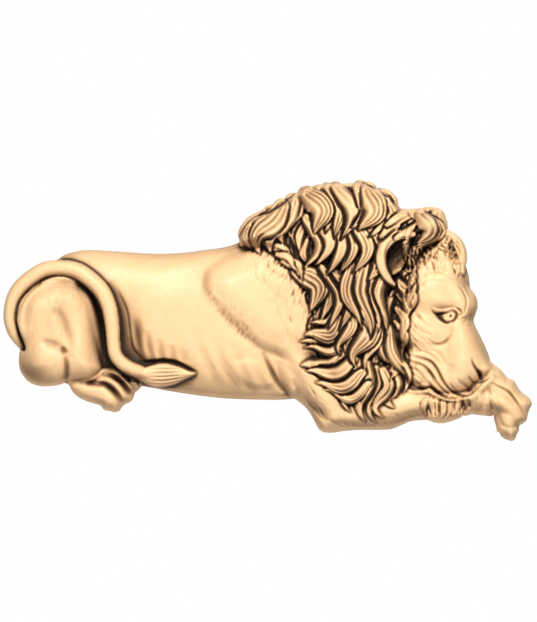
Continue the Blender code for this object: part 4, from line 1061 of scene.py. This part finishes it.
class Nodes:
    """Short names for making and joining the nodes of one material."""

    def __init__(self, name):
        self.material = bpy.data.materials.new(name)
        self.material.use_nodes = True
        self.tree = self.material.node_tree
        self.shader = self.tree.nodes["Principled BSDF"]

    def add(self, kind, links=(), **settings):
        node = self.tree.nodes.new(kind)
        for key, value in settings.items():
            if key in node.inputs:
                node.inputs[key].default_value = value
            else:
                setattr(node, key, value)
        for source, socket in links:
            self.tree.links.new(source, node.inputs[socket])
        return node

    def join(self, source, socket):
        self.tree.links.new(source, self.shader.inputs[socket])

    def noise(self, place, **settings):
        return self.add("ShaderNodeTexNoise", [(place, "Vector")], **settings).outputs["Fac"]

    def ramp(self, source, stops):
        node = self.add("ShaderNodeValToRGB", [(source, "Fac")])
        points = node.color_ramp.elements
        while len(points) < len(stops):
            points.new(0.5)
        for point, (place, colour) in zip(points, stops):
            point.position = place
            point.color = (*colour, 1)
        return node.outputs["Color"]

    def mix(self, factor, first, second, blend):
        node = self.add("ShaderNodeMix", data_type="RGBA", blend_type=blend)
        for index, value in ((0, factor), (6, first), (7, second)):
            if isinstance(value, bpy.types.NodeSocket):
                self.tree.links.new(value, node.inputs[index])
            else:
                node.inputs[index].default_value = value
        return node.outputs[2]

    def maths(self, operation, first, second, third=0.5):
        node = self.add("ShaderNodeMath", operation=operation)
        for index, value in enumerate((first, second, third)):
            if isinstance(value, bpy.types.NodeSocket):
                self.tree.links.new(value, node.inputs[index])
            else:
                node.inputs[index].default_value = value
        return node.outputs[0]


def carved_wood():
    """Pale oiled limewood with a brown patina and painted shade in the cuts, faint grain along it and the
    marks of gouges.
    """
    n = Nodes("carved_wood_and_painted_shade")
    place = n.add("ShaderNodeTexCoord").outputs["Object"]
    patina_and_shade = n.add("ShaderNodeAttribute", attribute_name="patina_and_shade").outputs["Fac"]
    stretched = n.add("ShaderNodeMapping", [(place, "Vector")], Scale=(90, 190, 190)).outputs["Vector"]
    grain = n.noise(stretched, Scale=1.0, Detail=4, Roughness=0.6)
    cloud = n.noise(place, Scale=22, Detail=3)
    speckle = n.noise(place, Scale=420, Detail=2)
    uneven = n.maths("MULTIPLY_ADD", cloud, 0.22, -0.11)
    darkness = n.maths("ADD", patina_and_shade, uneven)
    # the colour runs from pale wood through brown patina and painted shade to near black
    tone_and_shade = n.ramp(darkness, [
        (0.0, (0.84, 0.57, 0.30)),
        (0.12, (0.80, 0.51, 0.265)),
        (0.30, (0.54, 0.325, 0.165)),
        (0.50, (0.28, 0.152, 0.068)),
        (0.75, (0.095, 0.048, 0.021)),
        (1.0, (0.03, 0.015, 0.0065)),
    ])
    figure = n.ramp(grain, [(0.30, (0.90, 0.86, 0.80)), (0.62, (1.0, 1.0, 1.0))])
    with_grain = n.mix(0.40, tone_and_shade, figure, "MULTIPLY")
    n.join(with_grain, "Base Color")
    roughness = n.maths("MULTIPLY_ADD", patina_and_shade, 0.25, 0.46)
    n.join(roughness, "Roughness")
    gouged = n.maths("MULTIPLY_ADD", grain, 0.6, speckle)
    bump = n.add("ShaderNodeBump", [(gouged, "Height")], Strength=0.22, Distance=0.0007)
    n.join(bump.outputs["Normal"], "Normal")
    n.shader.inputs["Specular IOR Level"].default_value = 0.35
    return n.material


def keep_in_box(solid):
    """Holds the finer carving to the size of the plain one, which it passes by a hair at its ends."""
    places = np.empty(len(solid.vertices) * 3)
    solid.vertices.foreach_get("co", places)
    held = np.clip(places.reshape(-1, 3), CAD_BOX[0], CAD_BOX[1])
    solid.vertices.foreach_set("co", held.ravel())


def make_lion():
    """The whole carving, which takes the place of the plain one."""
    board = carve()
    heights = carried_out(board)
    solid = solid_from(thinned(carved_face(board, heights)))
    keep_in_box(solid)
    paint(solid, board, heights)
    solid.shade_smooth()
    solid.set_sharp_from_angle(angle=math.radians(60))
    solid.materials.append(carved_wood())
    lion = bpy.data.objects.new("lion_carving", solid)
    bpy.context.scene.collection.objects.link(lion)
    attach(lion, "root")
    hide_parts("lion_relief")
    return lion


FLOOR_BELOW = 0.55
FLOOR_ACROSS = 3.6
FLOOR_COLOUR = (0.80, 0.80, 0.80, 1)
WHITE = (1, 1, 1, 1)


def make_floor():
    """A pale floor well below the carving."""
    mesh = bmesh.new()
    bmesh.ops.create_grid(mesh, x_segments=2, y_segments=2, size=FLOOR_ACROSS / 2)
    bmesh.ops.translate(mesh, verts=mesh.verts, vec=(0, 0, -FLOOR_BELOW))
    surface = bpy.data.meshes.new("floor")
    mesh.to_mesh(surface)
    mesh.free()
    n = Nodes("pale_floor")
    n.shader.inputs["Base Color"].default_value = FLOOR_COLOUR
    n.shader.inputs["Roughness"].default_value = 0.8
    surface.materials.append(n.material)
    floor = bpy.data.objects.new("floor", surface)
    bpy.context.scene.collection.objects.link(floor)


# Round soft lamps that face the carving: where each stands, how wide it is and its power.
LAMPS = {
    "key": ((0.15, -2.1, 1.5), 0.7, 78),
    "fill": ((-1.6, -1.8, 0.1), 1.6, 4),
    "back": ((0.8, 2.2, 1.4), 1.6, 10),
}
ROOM_LIGHT, ROOM_SEEN = 0.24, 1.0                   # strength of the white room as a light, and as it looks


def soft_light(name, place, size, power):
    """A round soft lamp that faces the carving."""
    lamp = bpy.data.lights.new(name, "AREA")
    lamp.shape = "DISK"
    lamp.size = size
    lamp.energy = power
    light = bpy.data.objects.new(name, lamp)
    light.location = place
    light.rotation_mode = "QUATERNION"
    light.rotation_quaternion = (-Vector(place)).to_track_quat("-Z", "Y")
    bpy.context.scene.collection.objects.link(light)


def make_light():
    """A large soft light above and in front, a weaker one behind, and a white room."""
    for name, lamp in LAMPS.items():
        soft_light(name, *lamp)
    world = bpy.data.worlds.new("white_room")
    bpy.context.scene.world = world
    world.use_nodes = True
    tree = world.node_tree
    room = tree.nodes["Background"]
    room.inputs["Color"].default_value = WHITE
    room.inputs["Strength"].default_value = ROOM_LIGHT
    seen = tree.nodes.new("ShaderNodeBackground")
    seen.inputs["Color"].default_value = WHITE
    seen.inputs["Strength"].default_value = ROOM_SEEN
    choice = tree.nodes.new("ShaderNodeMixShader")
    ray = tree.nodes.new("ShaderNodeLightPath")
    tree.links.new(ray.outputs["Is Camera Ray"], choice.inputs["Fac"])
    tree.links.new(room.outputs["Background"], choice.inputs[1])
    tree.links.new(seen.outputs["Background"], choice.inputs[2])
    tree.links.new(choice.outputs["Shader"], tree.nodes["World Output"].inputs["Surface"])


PHOTO_WIDE, PHOTO_HIGH = 537, 622
SEEN_HIGH = PHOTO_HIGH * UNIT           # one pixel of the photograph is one drawing unit
CAMERA_AWAY = 5.0
SENSOR_WIDE = 36
OUTLINE_FORWARD = 0.02                  # the outline stands this far in front of the flat back
CENTRE_X, CENTRE_Z = 0.5, -1.0          # the middle of the photograph, in drawing units


def make_camera():
    """A distant camera that looks straight at the relief, at the scale of the drawing."""
    lens = bpy.data.cameras.new("camera")
    lens.sensor_width = SENSOR_WIDE
    lens.lens = lens.sensor_width * (CAMERA_AWAY - OUTLINE_FORWARD) / SEEN_HIGH
    lens.clip_end = 60
    camera = bpy.data.objects.new("camera", lens)
    camera.location = (CENTRE_X * UNIT, -CAMERA_AWAY, CENTRE_Z * UNIT)
    camera.rotation_euler = (math.radians(90), 0, 0)
    bpy.context.scene.collection.objects.link(camera)
    bpy.context.scene.camera = camera


make_camera()
make_lion()
make_floor()
make_light()
bpy.context.scene.view_settings.view_transform = "Standard"
